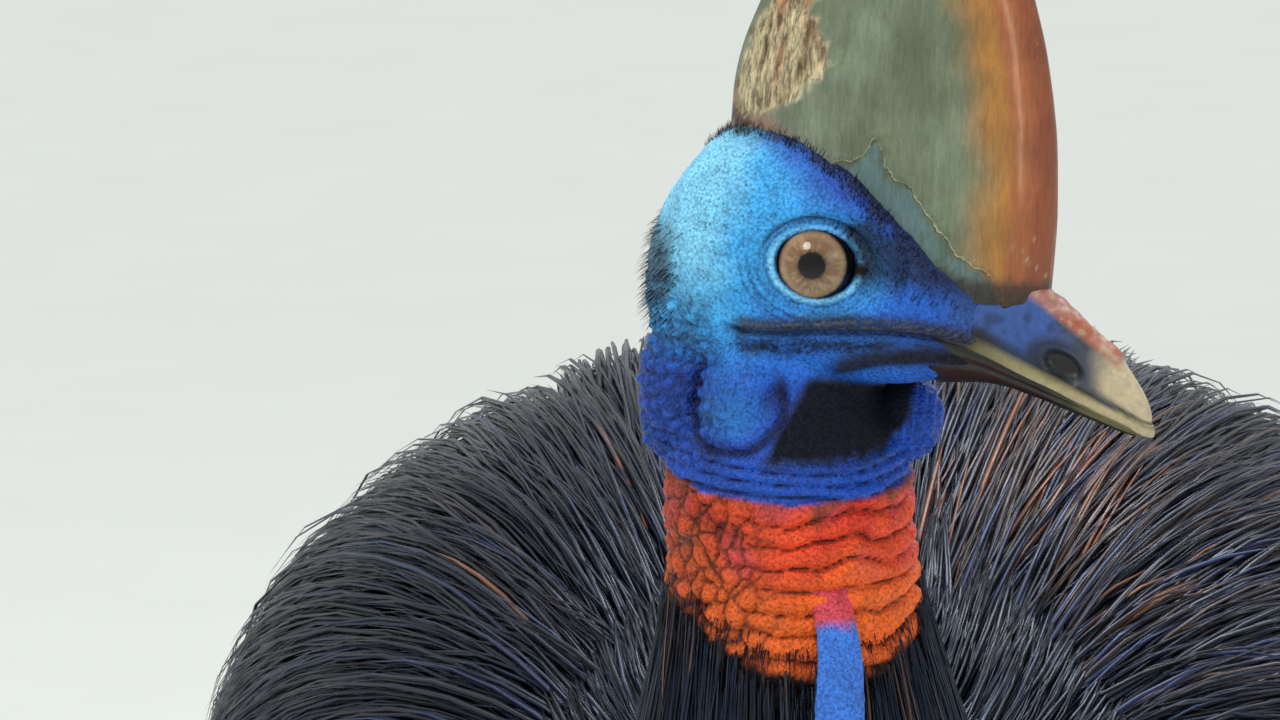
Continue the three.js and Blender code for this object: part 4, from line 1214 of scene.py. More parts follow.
def carve_upper(mesh):
    points, out = points_of(mesh), normals_of(mesh)
    f, l, u = head_places(points)
    top, mouth, _, half = between(BILL, np.clip(f, BILL_ROOT, UPPER_TIP)).T
    rise, lift = (u - mouth) / np.maximum(top - mouth, 2), u - mouth
    wave, crisp = rumple(points, 7.0), rumple(points, 2.4, 5.0)
    hole = nostril_ring(f, u)
    inside = ease(-hole, -1.05, -0.55)
    push = -3.2 * inside + 0.5 * np.exp(-(((hole - 1.22) / 0.18) ** 2))
    narrow = np.abs(l) / np.maximum(half, 1)
    ridge = ease(-narrow, -0.66, -0.5) * ease(rise, 0.45, 0.62) * ease(-f, -RIDGE_END, -RIDGE_END + 3)
    push += ridge * (0.9 + 0.7 * wave + 0.5 * crisp)
    groove = np.exp(-(((narrow - 0.7) / 0.08) ** 2)) * ease(rise, 0.4, 0.6)
    push -= 0.5 * groove * ease(-f, -100, -90)
    push += 0.5 * ease(-lift, -3.6, -2.6) - 0.5 * np.exp(-(((lift - 4.0) / 0.8) ** 2))
    set_points(mesh, points + out * push[:, None])

    before_tip = ease(-f, -84, -74)
    layers = [
        (FACE_BLUE, 0.9 * ease(-f - 3 * wave, -82, -70)),
        (SOOT, 0.45 * ease(crisp + wave, 0.1, 0.6) * before_tip),
        (CREAM, ease(f + 2 * wave, 84, 93) * ease(rise, 0.2, 0.4)),
        (SOOT, 0.8 * ease(-hole, -1.9, -1.2) * before_tip),
        (PINK, 0.95 * ridge),
        (EMBER, 0.75 * ridge * ease(wave, -0.05, 0.3)),
        # painted highlight: cream on the ridge's raised bumps
        (CREAM, 0.5 * ridge * ease(crisp, 0.15, 0.4)),
        (PITCH, ease(-lift, -9, -6) * ease(-f, -62, -50)),
        (SOOT, 0.8 * hump(lift, 5.5, 3.5) * ease(-f - 3 * wave, -86, -74)),
        (BRASS, ease(-lift, -3.4, -2.8) * ease(f + 4 * wave, 44, 54)),
        (CREAM, 0.75 * ease(-lift, -2.6, -1.8) * ease(f + 4 * wave, 54, 74)),
        (PITCH, 0.8 * np.exp(-(((lift - 3.9) / 0.6) ** 2)) * ease(f, 46, 56)),
        # painted shade: the nostril's hollow pitch black
        (PITCH, 0.97 * inside),
    ]
    store(mesh, "paint", layered(BILL_GREY, layers))


def carve_lower(mesh):
    points, out = points_of(mesh), normals_of(mesh)
    f, _, u = head_places(points)
    _, mouth, foot, _ = between(BILL, np.clip(f, BILL_ROOT, LOWER_TIP)).T
    rise = (u - foot) / np.maximum(mouth - foot, 1)
    wave = rumple(points, 8.0, 1.0)
    push = 0.5 * ease(rise, 0.7, 0.85) - 0.5 * np.exp(-(((rise - 0.6) / 0.1) ** 2)) + 0.2 * wave
    set_points(mesh, points + out * push[:, None])
    share = ease(f + 5 * wave, 72, 92) * ease(rise, 0.2, 0.6)
    store(mesh, "paint", layered(PITCH, [(BRASS, 0.55 * share)]))


def bill_material():
    """Bill horn: waxy, scratched along its length, with a fine grain."""
    horn = Nodes("bill_horn")
    place = horn.place()
    grain = horn.noise(500, 5, 0.65, place)
    horn.bump(grain, 0.0004, 0.5)
    rough = horn.ramp(horn.noise(160, 3, 0.5, place), [(0.3, 0.28), (0.7, 0.5)])
    return horn.finish(horn.grained(grain, 0.6, 0.7, 1.25), rough, Specular_IOR_Level=0.5)


def bill():
    horn = bill_material()
    upper = bill_half("bill_upper_horn", UPPER_TIP, lambda r: r[:, 0], lambda r: r[:, 1], True)
    carve_upper(upper)
    piece("bill_upper_horn", upper, horn, ["bill_upper"])
    lower = bill_half("bill_lower_horn", LOWER_TIP, lambda r: r[:, 1] - 0.6, lambda r: r[:, 2], False)
    carve_lower(lower)
    piece("bill_lower_horn", lower, horn, ["bill_lower"])


bill()


# Eyes: glass-like balls set deep in the lids, with a clear bulge in front. The iris is tan and
# streaked towards a round black pupil, and the white never shows. Each is turned as a lathe
# would, ring by ring round its own axis.
IRIS_RADIUS, PUPIL_RADIUS, IRIS_BACK = 10.8, 4.2, 1.1
CLEAR_BULGE = {"rise": 1.3, "wide": 0.85}
EYE_RINGS = {"rows": 90, "round": 80, "pole": 0.003}
IRIS_TAN = tint("#7f6047")
IRIS_PALE = tint("#a58a69")
IRIS_DEEP = tint("#4a3524")
PUPIL_BLACK = tint("#020202")


def threads(angle, spread, turns, stretch):
    """Noise that runs in threads out from the pupil."""
    places = zip(turns * np.cos(angle), turns * np.sin(angle), stretch * spread)
    return np.array([noise.noise(Vector(place)) for place in places])


def eye(side, sign):
    pole = EYE_RINGS["pole"]
    away, around = np.meshgrid(
        np.linspace(pole, np.pi - pole, EYE_RINGS["rows"]), ring_angles(EYE_RINGS["round"]), indexing="ij"
    )
    reach = EYE_RADIUS + CLEAR_BULGE["rise"] * hump(away, 0, CLEAR_BULGE["wide"])
    rings = eye_point(
        sign,
        reach * np.cos(away),
        reach * np.sin(away) * np.cos(around),
        reach * np.sin(away) * np.sin(around),
    )
    mesh = mesh_of("eye_ball_" + side, [loft(rings)])
    off = EYE_RADIUS * np.sin(np.minimum(away, np.pi / 2)) * np.exp(1j * around) + IRIS_BACK
    spread, angle = np.abs(off).ravel(), np.angle(off).ravel()
    fibre, thread = threads(angle, spread, 3, 0.15), threads(angle, spread, 14, 0.3)
    layers = [
        (IRIS_PALE, 0.8 * ease(fibre + thread, 0, 0.5)),
        (IRIS_PALE, 0.6 * hump(spread, 9.3, 1.6)),
        (IRIS_DEEP, 0.55 * ease(-spread, -6.2, -4.2)),
        (PUPIL_BLACK, ease(-spread - 0.15 * thread, -PUPIL_RADIUS - 0.25, -PUPIL_RADIUS + 0.25)),
        (PUPIL_BLACK, ease(spread, IRIS_RADIUS - 0.6, IRIS_RADIUS + 0.3)),
    ]
    store(mesh, "paint", layered(IRIS_TAN, layers))
    piece("eye_ball_" + side, mesh, eye_material(), ["eye_" + side])


def eye_material():
    """Eye: a wet, clear coat over the coloured iris."""
    wet = Nodes("eye")
    colour = wet.grained(wet.noise(1500, 2, 0.5), 0.6, 0.8, 1.2)
    return wet.finish(colour, 0.4, Coat_Weight=0.7, Coat_Roughness=0.02, Specular_IOR_Level=0.05)


for side, sign in SIDES.items():
    eye(side, sign)


# Wattle: one limp strap of blue skin that hangs from the front of the collar, pink at its
# root and set with dark pores. Lofted down its length and swollen towards its end.
WATTLE = {"top": 998, "length": 88, "turn": math.radians(21), "half": 5.5, "swell": 3, "thick": 3}
WATTLE |= {"root": (-5.5, -420), "out": 33}
WATTLE_RINGS = {"rows": 110, "round": 48}
WATTLE_BLUE = tint("#3d7be0")


def wattle():
    turn = WATTLE["turn"]
    out = np.array([math.sin(turn), -math.cos(turn), 0])
    side = np.array([-out[1], out[0], 0])
    root = in_frame((*WATTLE["root"], WATTLE["top"])) + out * WATTLE["out"]
    s, a = np.meshgrid(
        np.linspace(0, 1, WATTLE_RINGS["rows"]), ring_angles(WATTLE_RINGS["round"]), indexing="ij"
    )
    end = np.sqrt(np.maximum(0.02, 1 - np.maximum(0, (s - 0.8) / 0.2) ** 2))
    half = (WATTLE["half"] + WATTLE["swell"] * np.sin(s * 2.6)) * end
    half = half + 2.5 * ease(-s, -0.16, 0)
    forth = 13 * np.sin(np.minimum(1, s * 3) * np.pi / 2) + 3 * s + WATTLE["thick"] * end * np.cos(a)
    across = half * np.sin(a) + 0.8 * np.sin(5 * s)
    rings = root + forth[..., None] * out + across[..., None] * side
    rings = rings + (WATTLE["length"] * s)[..., None] * DOWN
    mesh = mesh_of("wattle_skin", [loft(rings)])
    points, normals = points_of(mesh), normals_of(mesh)
    wave, fine = rumple(points, 6.0, 4.0), rumple(points, 2.0, 8.0)
    set_points(mesh, points + normals * (0.45 * wave + 0.2 * fine)[:, None])
    pink_root = ease(-s.ravel() + 0.03 * wave, -0.2, -0.13)
    store(mesh, "paint", layered(WATTLE_BLUE, [(ROSE, pink_root)]))
    hide = skin_material("wattle_skin", pores_apart=1.25, pore_depth=0.12)
    piece("wattle_skin", mesh, hide, ["wattle"])


wattle()


# Plumage of the body: coarse drooping feathers whose barbs don't hook together, so that they
# hang like hair. They are black-brown, rusty in places, with a cold gloss. Tufts grow from the
# hide and lie back along it, and each is a bundle of thin closed blades drawn to a point.
LINE_RINGS = 10
BLADE_SHAPE = [[0, 0.5], [0.25, 1.0], [0.6, 0.9], [0.85, 0.5], [1, 0.04]]
BLADE_RIDGE = 0.32
BAKE_PATCH = 0.003
SURFACE_STEP = 1e-3
GOLDEN = 0.6180339887
# The feathers' colours, from the darkest through a cold blue-black to rust
FEATHER_TONES = [(0.0, "#040405"), (0.16, "#111a30"), (0.28, "#100f13"), (0.46, "#29252b")]
FEATHER_TONES += [(0.56, "#28345c"), (0.66, "#41383c"), (0.82, "#54402f"), (1.0, "#7d4a28")]
dice = np.random.default_rng(7)


def unit(vectors):
    return vectors / np.maximum(np.linalg.norm(vectors, axis=-1, keepdims=True), 1e-9)


def dot(a, b):
    return np.sum(a * b, -1, keepdims=True)


def frame_at(surface, u, v):
    """The two directions of growth on a surface, and the way out of it."""
    point = surface(u, v, 0)
    along = (surface(u + SURFACE_STEP, v, 0) - point) / SURFACE_STEP
    around = (surface(u, v + SURFACE_STEP, 0) - point) / SURFACE_STEP
    out = unit(np.cross(along, around))
    return along, around, out * np.sign(dot(out, surface(u, v, 1) - point))


def tuft_lines(surface, u, v, tuft):
    """The middle line of each tuft, with its side and its way out, ring by ring."""
    reach = tuft["length"] / (LINE_RINGS - 1)
    made = []
    for s in np.linspace(0, 1, LINE_RINGS):
        along, around, out = frame_at(surface, u, v)
        way = unit(along) + (tuft["droop"] * (0.35 + 1.1 * s))[:, None] * DOWN
        way = unit(way - dot(way, out) * out)
        way = unit(way + (tuft["lean"] + tuft["curl"] * (s - 0.3))[:, None] * np.cross(out, way))
        height = tuft["lift"] * s + tuft["flick"] * s**3 - tuft["depth"] * (1 - s) ** 1.6
        middle = surface(u, v, height) + (tuft["sag"] * s * s)[:, None] * DOWN
        made.append(np.stack([middle, np.cross(out, way), out]))
        aa, ab, bb = (dot(a, b)[:, 0] for a, b in ((along, along), (along, around), (around, around)))
        a, b = dot(way, along)[:, 0], dot(way, around)[:, 0]
        area = np.maximum(aa * bb - ab * ab, 1)
        u = u + reach * (a * bb - b * ab) / area
        v = v + np.clip(reach * (b * aa - a * ab) / area, -0.6, 0.6)
    return np.stack(made)


def strands(lines, plan):
    """The rings of every blade: its middle, its side, its way up and its half width."""
    each, rings = plan["each"], plan["rings"]
    size = lines.shape[2] * each
    tuft = np.repeat(np.arange(lines.shape[2]), each)
    first, last = dice.uniform(0, 0.1, size), dice.uniform(0.72, 1, size)
    aside = dice.uniform(-1.6, 1.6, size) * plan["spread"]
    wander = dice.normal(0, plan["wander"], size)
    above = dice.uniform(-1, 0.4, size) * plan["deep"]
    roll = dice.normal(0, 0.22, size)
    half = plan["width"] * dice.uniform(0.6, 1.2, size) / 2
    made = []
    for s in np.linspace(0, 1, rings):
        at = (first + (last - first) * s) * (LINE_RINGS - 1)
        low = np.minimum(at.astype(int), LINE_RINGS - 2)
        part = (at - low)[:, None]
        middle, side, out = (
            lines[low, i, tuft] * (1 - part) + lines[low + 1, i, tuft] * part for i in range(3)
        )
        shift = aside * (1 - plan["gather"] * s**1.5) + wander * s * s
        middle = middle + shift[:, None] * side + above[:, None] * out
        across = unit(np.cos(roll)[:, None] * side + np.sin(roll)[:, None] * out)
        up = unit(out - dot(out, across) * across)
        made.append((middle, across, up, half * float(between(BLADE_SHAPE, s)[..., 0])))
    return made


def blades(name, rings, roots, tones):
    """One mesh of closed three-sided blades with a bake map that keeps each by its root."""
    count = len(roots)
    corners = []
    for middle, across, up, half in rings[:-1]:
        wide = across * half[:, None]
        corners += [middle - wide, middle + wide, middle + up * (half * 2 * BLADE_RIDGE)[:, None]]
    corners.append(rings[-1][0])
    points = np.stack(corners, 1)
    each = points.shape[1]
    body = len(rings) - 1
    sides = []
    for ring in range(body - 1):
        low = ring * 3
        sides += [[low + k, low + (k + 1) % 3, low + 3 + (k + 1) % 3, low + 3 + k] for k in range(3)]
    last = (body - 1) * 3
    tips = [[last + k, last + (k + 1) % 3, each - 1] for k in range(3)] + [[2, 1, 0]]
    first = (np.arange(count) * each)[:, None, None]
    quads = (first + np.array(sides)).reshape(-1)
    triangles = (first + np.array(tips)).reshape(-1)
    mesh = bpy.data.meshes.new(name)
    mesh.vertices.add(count * each)
    mesh.vertices.foreach_set("co", (points * MM).astype(np.float32).ravel())
    loops = np.concatenate([quads, triangles]).astype(np.int32)
    mesh.loops.add(len(loops))
    mesh.loops.foreach_set("vertex_index", loops)
    sizes = np.concatenate([np.full(len(quads) // 4, 4), np.full(len(triangles) // 3, 3)])
    mesh.polygons.add(len(sizes))
    starts = np.concatenate([[0], np.cumsum(sizes)[:-1]])
    mesh.polygons.foreach_set("loop_start", starts.astype(np.int32))
    mesh.update(calc_edges=True)
    mesh.shade_smooth()
    reach = np.repeat(np.arange(body + 1) / body, [3] * body + [1])
    column = np.array([0.0, 1.0, 0.5] * body + [0.5])
    patch = BAKE_PATCH * np.stack([column, reach], -1)
    places = roots[:, None, :] * (1 - 2 * BAKE_PATCH) + BAKE_PATCH * 0.5 + patch[None]
    mesh.uv_layers.new(name="OFBake").uv.foreach_set(
        "vector", places.reshape(-1, 2)[loops].astype(np.float32).ravel()
    )
    store(mesh, "tone", np.repeat(tones, each))
    store(mesh, "reach", np.tile(reach, count))
    store(mesh, "column", np.tile(column, count))
    return mesh


def plumage_material():
    """Feather: black-brown, rusty here and there, split into fine barbs with a cold gloss."""
    feather = Nodes("plumage")
    tone, reach = feather.read("tone"), feather.read("reach")
    base = feather.ramp(tone, [(at, tint(code)) for at, code in FEATHER_TONES])
    seat = feather.add("ShaderNodeCombineXYZ")
    seed = feather.sum(tone, 97.0, "MULTIPLY")
    across = feather.sum(feather.read("column"), 5.0, "MULTIPLY")
    feather.feed(seat.inputs["X"], feather.sum(across, seed))
    feather.feed(seat.inputs["Y"], feather.sum(reach, 2.5, "MULTIPLY"))
    feather.feed(seat.inputs["Z"], seed)
    barbs = feather.noise(1.6, 2, 0.5, seat.outputs["Vector"])
    split = feather.ramp(barbs, [(0.32, 0.35), (0.62, 1.45)])
    tips = feather.ramp(reach, [(0.0, 0.45), (0.5, 0.9), (1.0, 1.5)])
    colour = feather.mix(0.85, base, split, "MULTIPLY")
    colour = feather.mix(0.8, colour, tips, "MULTIPLY")
    feather.bump(barbs, 0.0005, 0.5)
    rough = feather.ramp(feather.noise(60, 2, 0.5), [(0.3, 0.22), (0.7, 0.38)])
    return feather.finish(
        colour, rough, Specular_IOR_Level=0.48, Specular_Tint=(0.55, 0.7, 1.0, 1)
    )


plumage = plumage_material()

# Where each coat piece of the body starts and ends from breast to rump, and its tufts
BODY_COAT = {
    "cape": {"from": 0.02, "to": 0.80, "tufts": 280, "length": 130, "rings": 5, "rust": 0.1},
    "breast": {"from": 0.24, "to": 0.92, "tufts": 450, "length": 250, "rings": 8, "rust": 0.3},
    "shoulder": {"from": 0.66, "to": 1.22, "tufts": 450, "length": 290, "rings": 7, "rust": 0.25},
    "flank": {"from": 1.18, "to": 1.90, "tufts": 350, "length": 300, "rings": 6, "rust": 0.1},
    "rump": {"from": 1.86, "to": 2.85, "tufts": 280, "length": 290, "rings": 6, "rust": 0.06},
}
BODY_TUFT = {"each": 10, "width": 2.4, "spread": 8.0, "wander": 2.2, "deep": 7.0, "gather": 0.35}
RUST = {"wave": 90.0, "least": 0.08, "most": 0.42}
STRAY = 0.006


def spiral(count, low, high, sign=0):
    """Even places: down a surface, and round one side of it, or all round where sign is 0."""
    order = (np.arange(count) + 0.5) / count
    turn = (np.arange(count) * GOLDEN) % 1
    around = sign * turn * np.pi if sign else (turn * 2 - 1) * np.pi
    return low + (high - low) * order, around


def tuft_plan(root, length):
    """How tufts at places in the frame lie, and how rusty each is."""
    count = len(root)
    drift, swirl = rumple(root, 110.0, 1.0), rumple(root, 42.0, 6.0)
    rust = ease(rumple(root, RUST["wave"], 4.0), RUST["least"], RUST["most"])
    stray = dice.random(count) < STRAY
    tuft = {
        "length": length * dice.uniform(0.8, 1.1, count),
        "lean": 0.1 * drift + 0.05 * swirl + dice.normal(0, 0.025, count),
        "curl": 0.06 * swirl + dice.normal(0, 0.04, count),
        "lift": dice.uniform(-7, 0, count),
        "flick": dice.uniform(-4, 0, count) + stray * dice.uniform(5, 14, count),
    }
    tuft["lean"] += stray * dice.normal(0, 0.15, count)
    return tuft, dice.uniform(0.0, 0.5, count), rust


def coat_piece(name, surface, place, tuft, plan, roots, tones):
    """Grows tufts on a surface, splits them into blades and shows them as one piece."""
    rings = strands(tuft_lines(surface, *place, tuft), plan)
    mesh = blades(name, rings, np.repeat(roots, plan["each"], axis=0), tones)
    piece(name, mesh, plumage)


def body_coat():
    for region, plan in BODY_COAT.items():
        for side, sign in SIDES.items():
            count, each = plan["tufts"], BODY_TUFT["each"]
            u, v = spiral(count, math.cos(plan["from"]), math.cos(plan["to"]), sign)
            u, v = np.arccos(u) + dice.normal(0, 0.015, count), v + dice.normal(0, 0.02, count)
            tuft, tone, rust = tuft_plan(body_point(u, v, 0), plan["length"])
            tuft["droop"] = 0.2 + 0.95 * np.abs(np.sin(v))
            tuft["sag"] = 60 * ease(u, 1.6, 2.9)
            tuft["depth"] = BODY["coat"] - 1.0
            tuft["lift"] = tuft["lift"] - 4.0 * (region == "cape")
            rusty = dice.random(count * each) < plan["rust"] * (2 if sign > 0 else 0.3)
            tones = np.repeat(tone + 0.22 * (sign > 0), each) + dice.normal(0, 0.09, count * each)
            tones = np.clip(tones + 0.45 * rusty * np.repeat(rust, each), 0, 1)
            roots = np.stack([np.clip(u / np.pi, 0, 1), np.clip(np.abs(v) / np.pi, 0, 1)], -1)
            many = {**BODY_TUFT, "rings": plan["rings"]}
            coat_piece(f"plumage_{region}_{side}", body_point, (u, v), tuft, many, roots, tones)


body_coat()


# Plumage of the neck: short hair-like feathers that start at the collar's hem and flow down
# on to the breast. They are black, fine at the top and coarser below, made as the body's are.
NECK_COAT = {"top": 3, "foot": 24, "over": 150, "merge": 24}
NECK_PARTS = {
    "upper": {"top": 995, "foot": 930, "tufts": 420, "length": 62},
    "lower": {"top": 945, "foot": 820, "tufts": 290, "length": 150},
}
NECK_PARTS["upper"] |= {"width": 1.1, "spread": 2.6, "depth": 2}
NECK_PARTS["lower"] |= {"width": 2.1, "spread": 6, "depth": 16}
NECK_TUFT = {"each": 11, "rings": 6, "wander": 2.5, "deep": 1.5, "gather": 0.45}


def neck_surface(t, angle, height):
    t = np.clip(t, 0, 1)
    z = neck_path.at(t)[..., 2]
    sunk = np.clip((COLLAR_FOOT - z) / NECK_COAT["over"], 0, 1)
    coat = NECK_COAT["top"] + (NECK_COAT["foot"] - NECK_COAT["top"]) * sunk
    coat = coat - NECK_COAT["merge"] * ease(-z, -850, -800) * ease(-np.cos(angle), -0.3, 0.6)
    return neck_path.beside(t, angle, neck_radius(t) + coat + height)


def neck_coat():
    for part, at in NECK_PARTS.items():
        top, foot = neck_path.where(2, at["top"]), neck_path.where(2, at["foot"])
        t, angle = spiral(at["tufts"], top, foot)
        height = neck_path.at(t)[:, 2]
        keep = height < hem_height(angle) + 2
        t, angle, height = t[keep], angle[keep], height[keep]
        count, each = len(t), NECK_TUFT["each"]
        tuft, tone, _ = tuft_plan(neck_surface(t, angle, 0), at["length"])
        loose = 0.3 + 0.5 * at["depth"] / BODY["coat"]
        tuft = {key: value * (1 if key == "length" else loose) for key, value in tuft.items()}
        tuft |= {"droop": np.zeros(count), "sag": np.zeros(count), "depth": at["depth"]}
        tones = np.repeat(0.6 * tone, each) + dice.normal(0, 0.05, count * each)
        fringe = np.repeat(ease(height - hem_height(angle), -5, -1), each)
        tones = np.clip(tones + fringe * (dice.random(count * each) < 0.3) * 0.6, 0, 1)
        roots = np.stack([np.clip(t, 0, 1), np.clip(angle / (2 * np.pi) + 0.5, 0, 1)], -1)
        many = {**NECK_TUFT, "width": at["width"], "spread": at["spread"]}
        coat_piece("plumage_neck_" + part, neck_surface, (t, angle), tuft, many, roots, tones)


neck_coat()


# Plumage of the thighs: the same feathers as on the body, but shorter, over the drumsticks
# down to the shins. They are made as the body's are, on the thighs' own surface.
THIGH_COAT = 13
THIGH_TUFT = {"each": 11, "rings": 5, "width": 2.8, "spread": 6, "wander": 3, "deep": 4, "gather": 0.5}
THIGH_TUFTS = 156


def thigh_coat():
    for side, sign in SIDES.items():
        path, each = thigh_paths[sign], THIGH_TUFT["each"]

        def surface(t, angle, height):
            t = np.clip(t, 0, 0.999)
            return path.beside(t, sign * angle, between(THIGH, t)[..., 0] + height)

        t, angle = spiral(THIGH_TUFTS, 0.02, 0.88)
        tuft, tone, _ = tuft_plan(surface(t, angle, 0), 120 - 60 * t)
        tuft |= {"lift": 0.5 * tuft["lift"], "flick": 0.5 * tuft["flick"]}
        tuft |= {"droop": np.full(len(t), 0.2), "sag": np.zeros(len(t)), "depth": THIGH_COAT}
        tones = np.clip(np.repeat(tone, each) + dice.normal(0, 0.07, len(t) * each), 0, 1)
        roots = np.stack([np.clip(t, 0, 1), (angle / (2 * np.pi)) % 1], -1)
        coat_piece("plumage_thigh_" + side, surface, (t, angle), tuft, THIGH_TUFT, roots, tones)


thigh_coat()


# Bristles: stiff black hairs on the nape, at the casque's foot and along the cheek under the
# gape, and longer ones at the collar's hem. Each is a thin closed blade rooted in the skin.
BRISTLES = {
    "nape": {"count": 750, "length": 5.5, "width": 0.4, "stand": 0.8, "way": (-0.3, 0, -0.7)},
    "brow": {"count": 1300, "length": 5.0, "width": 0.4, "stand": 0.45, "way": (0.25, 0, 0.8)},
    "cheek": {"count": 500, "length": 2.6, "width": 0.3, "stand": 0.5, "way": (-0.8, 0, -0.4)},
    "hem": {"count": 500, "length": 9.0, "width": 0.5, "stand": 0.35, "way": (0, 0, -1)},
}
BRISTLE_RINGS = 4
BRISTLE_SUNK = 0.5


def bristle_share():
    """How likely each point of the skin is to bear a bristle, region by region."""
    f, l, u = head_places(skin_points)
    theta, z = neck_places(skin_points)
    wave = rumple(skin_points, 9.0)
    rim = casque_rim(f, l, u)
    near_gape = ease(f, GAPE_BACK, GAPE_BACK + 4) * (f < 22) * (l < 0)
    return {
        "nape": ease(-f + 3 * wave, 46, 54) * hump(u, -14, 24) * (z > 1040) * (u > -48),
        "brow": ((rim < 1.16) & (rim > 0.98) & (u > -10)) * (0.4 + ease(u, -10, 20)),
        "cheek": hump(u - level(MOUTH, f), -4, 4) * near_gape,
        "hem": np.exp(-(((z - hem_height(theta)) / 3.0) ** 2)),
    }


def bristles():
    for region, share in bristle_share().items():
        plan = BRISTLES[region]
        count = plan["count"]
        at = dice.choice(len(skin_points), count, p=share / share.sum())
        root, out = skin_points[at], skin_out[at]
        fore, aside, rise = plan["way"]
        way = fore * FORWARD + aside * LEFT + rise * (UP if region != "hem" else -DOWN)
        way = unit(plan["stand"] * out + way + dice.normal(0, 0.16, (count, 3)))
        across = unit(np.cross(way, out))
        up = unit(np.cross(across, way))
        length = plan["length"] * dice.uniform(0.5, 1.1, count)
        rings = []
        for s in np.linspace(0, 1, BRISTLE_RINGS):
            reach, drop = (length * s)[:, None], (length * 0.25 * s * s)[:, None]
            middle = root - BRISTLE_SUNK * out + reach * way + drop * DOWN
            rings.append((middle, across, up, np.full(count, plan["width"] / 2 * (1 - 0.9 * s))))
        theta, z = neck_places(root)
        seats = np.stack([theta / (2 * np.pi) + 0.5, np.clip((z - 900) / 300, 0, 1)], -1)
        mesh = blades("bristles_" + region, rings, seats, dice.uniform(0, 0.35, count))
        piece("bristles_" + region, mesh, plumage)


bristles()


# Legs: bare below the thighs, in grey-brown scales. Broad plates overlap down the front of the
# foot bone and across the toes, and small round scales cover the rest. Shin, foot and toes are
# lofts fused into one hide, with the scales raised on it, and the pads stand flat on the floor.
HOCK = 332
SHIN_PATH = [(3, 40, 440), (1, 66, 375), (0, 78, HOCK), (0, 70, HOCK - 26)]
SHIN = [[0, 20], [0.5, 20], [0.85, 26], [1, 24]]
FOOT_PATH = [(0, 78, HOCK + 6), (0, 68, HOCK - 30), (0, 34, 170), (0, 6, 60), (0, 0, 22)]
FOOT = [[0, 25], [0.14, 21], [0.5, 17], [0.85, 19], [1, 23]]
FOOT_PAD = {"radius": 28, "high": 24, "up": 20}
TOES = {
    "inner": {"turn": -27, "length": 88, "root": 15, "tip": 11, "claw": 108, "radius": 8},
    "middle": {"turn": 4, "length": 150, "root": 18, "tip": 12, "claw": 44, "radius": 8},
    "outer": {"turn": 34, "length": 108, "root": 15, "tip": 10.5, "claw": 34, "radius": 7},
}
TOE_PADS = 3
LEG_VOXEL = 2.2
PLATE = {"foot": 11.5, "toe": 9.0, "raise": 1.3}
LEG_GREY = tint("#7d7466")
LEG_PALE = tint("#a89c86")
LEG_DARK = tint("#3c352c")


def toe_point(sign, toe, ahead, across, up):
    """A point from the middle of the foot: out along a toe, across it and up."""
    turn = sign * math.radians(toe["turn"])
    forward = np.array([math.sin(turn), -math.cos(turn), 0])
    sideways = np.array([-forward[1], forward[0], 0])
    ahead, across, up = np.broadcast_arrays(ahead, across, up)
    flat = ahead[..., None] * forward + across[..., None] * sideways
    root = in_frame((sign * LEG_X, LEG_Y, 0))
    return root + flat + up[..., None] * np.array([0, 0, 1.0])


def toe_loft(sign, toe):
    s, a = np.meshgrid(np.linspace(0, 1, 40), ring_angles(28), indexing="ij")
    swell = 1 + 0.09 * np.cos(2 * np.pi * s * TOE_PADS)
    closing = np.sqrt(np.maximum(0.3, 1 - np.maximum(0, (s - 0.9) / 0.1) ** 2))
    r = (toe["root"] + (toe["tip"] - toe["root"]) * s) * swell * closing
    high = np.maximum(0, r * (0.72 + np.sin(a)))
    return loft(toe_point(sign, toe, toe["length"] * s, r * np.cos(a), high))


def toe_plates(points, sign, wave):
    """How far along its plate each point is, on the toe it is nearest, and how far beside it."""
    plate, beside = np.zeros(len(points)), np.full(len(points), 1e3)
    away = points[:, :2] - in_frame((sign * LEG_X, LEG_Y, 0))[:2]
    for toe in TOES.values():
        turn = sign * math.radians(toe["turn"])
        forward = np.array([math.sin(turn), -math.cos(turn)])
        ahead = away @ forward
        across = np.abs(away[:, 0] * forward[1] - away[:, 1] * forward[0])
        nearer = (across < beside) & (ahead > 8)
        beside[nearer] = across[nearer]
        plate[nearer] = ((ahead / PLATE["toe"] + 0.2 * wave) % 1)[nearer]
    return plate, beside


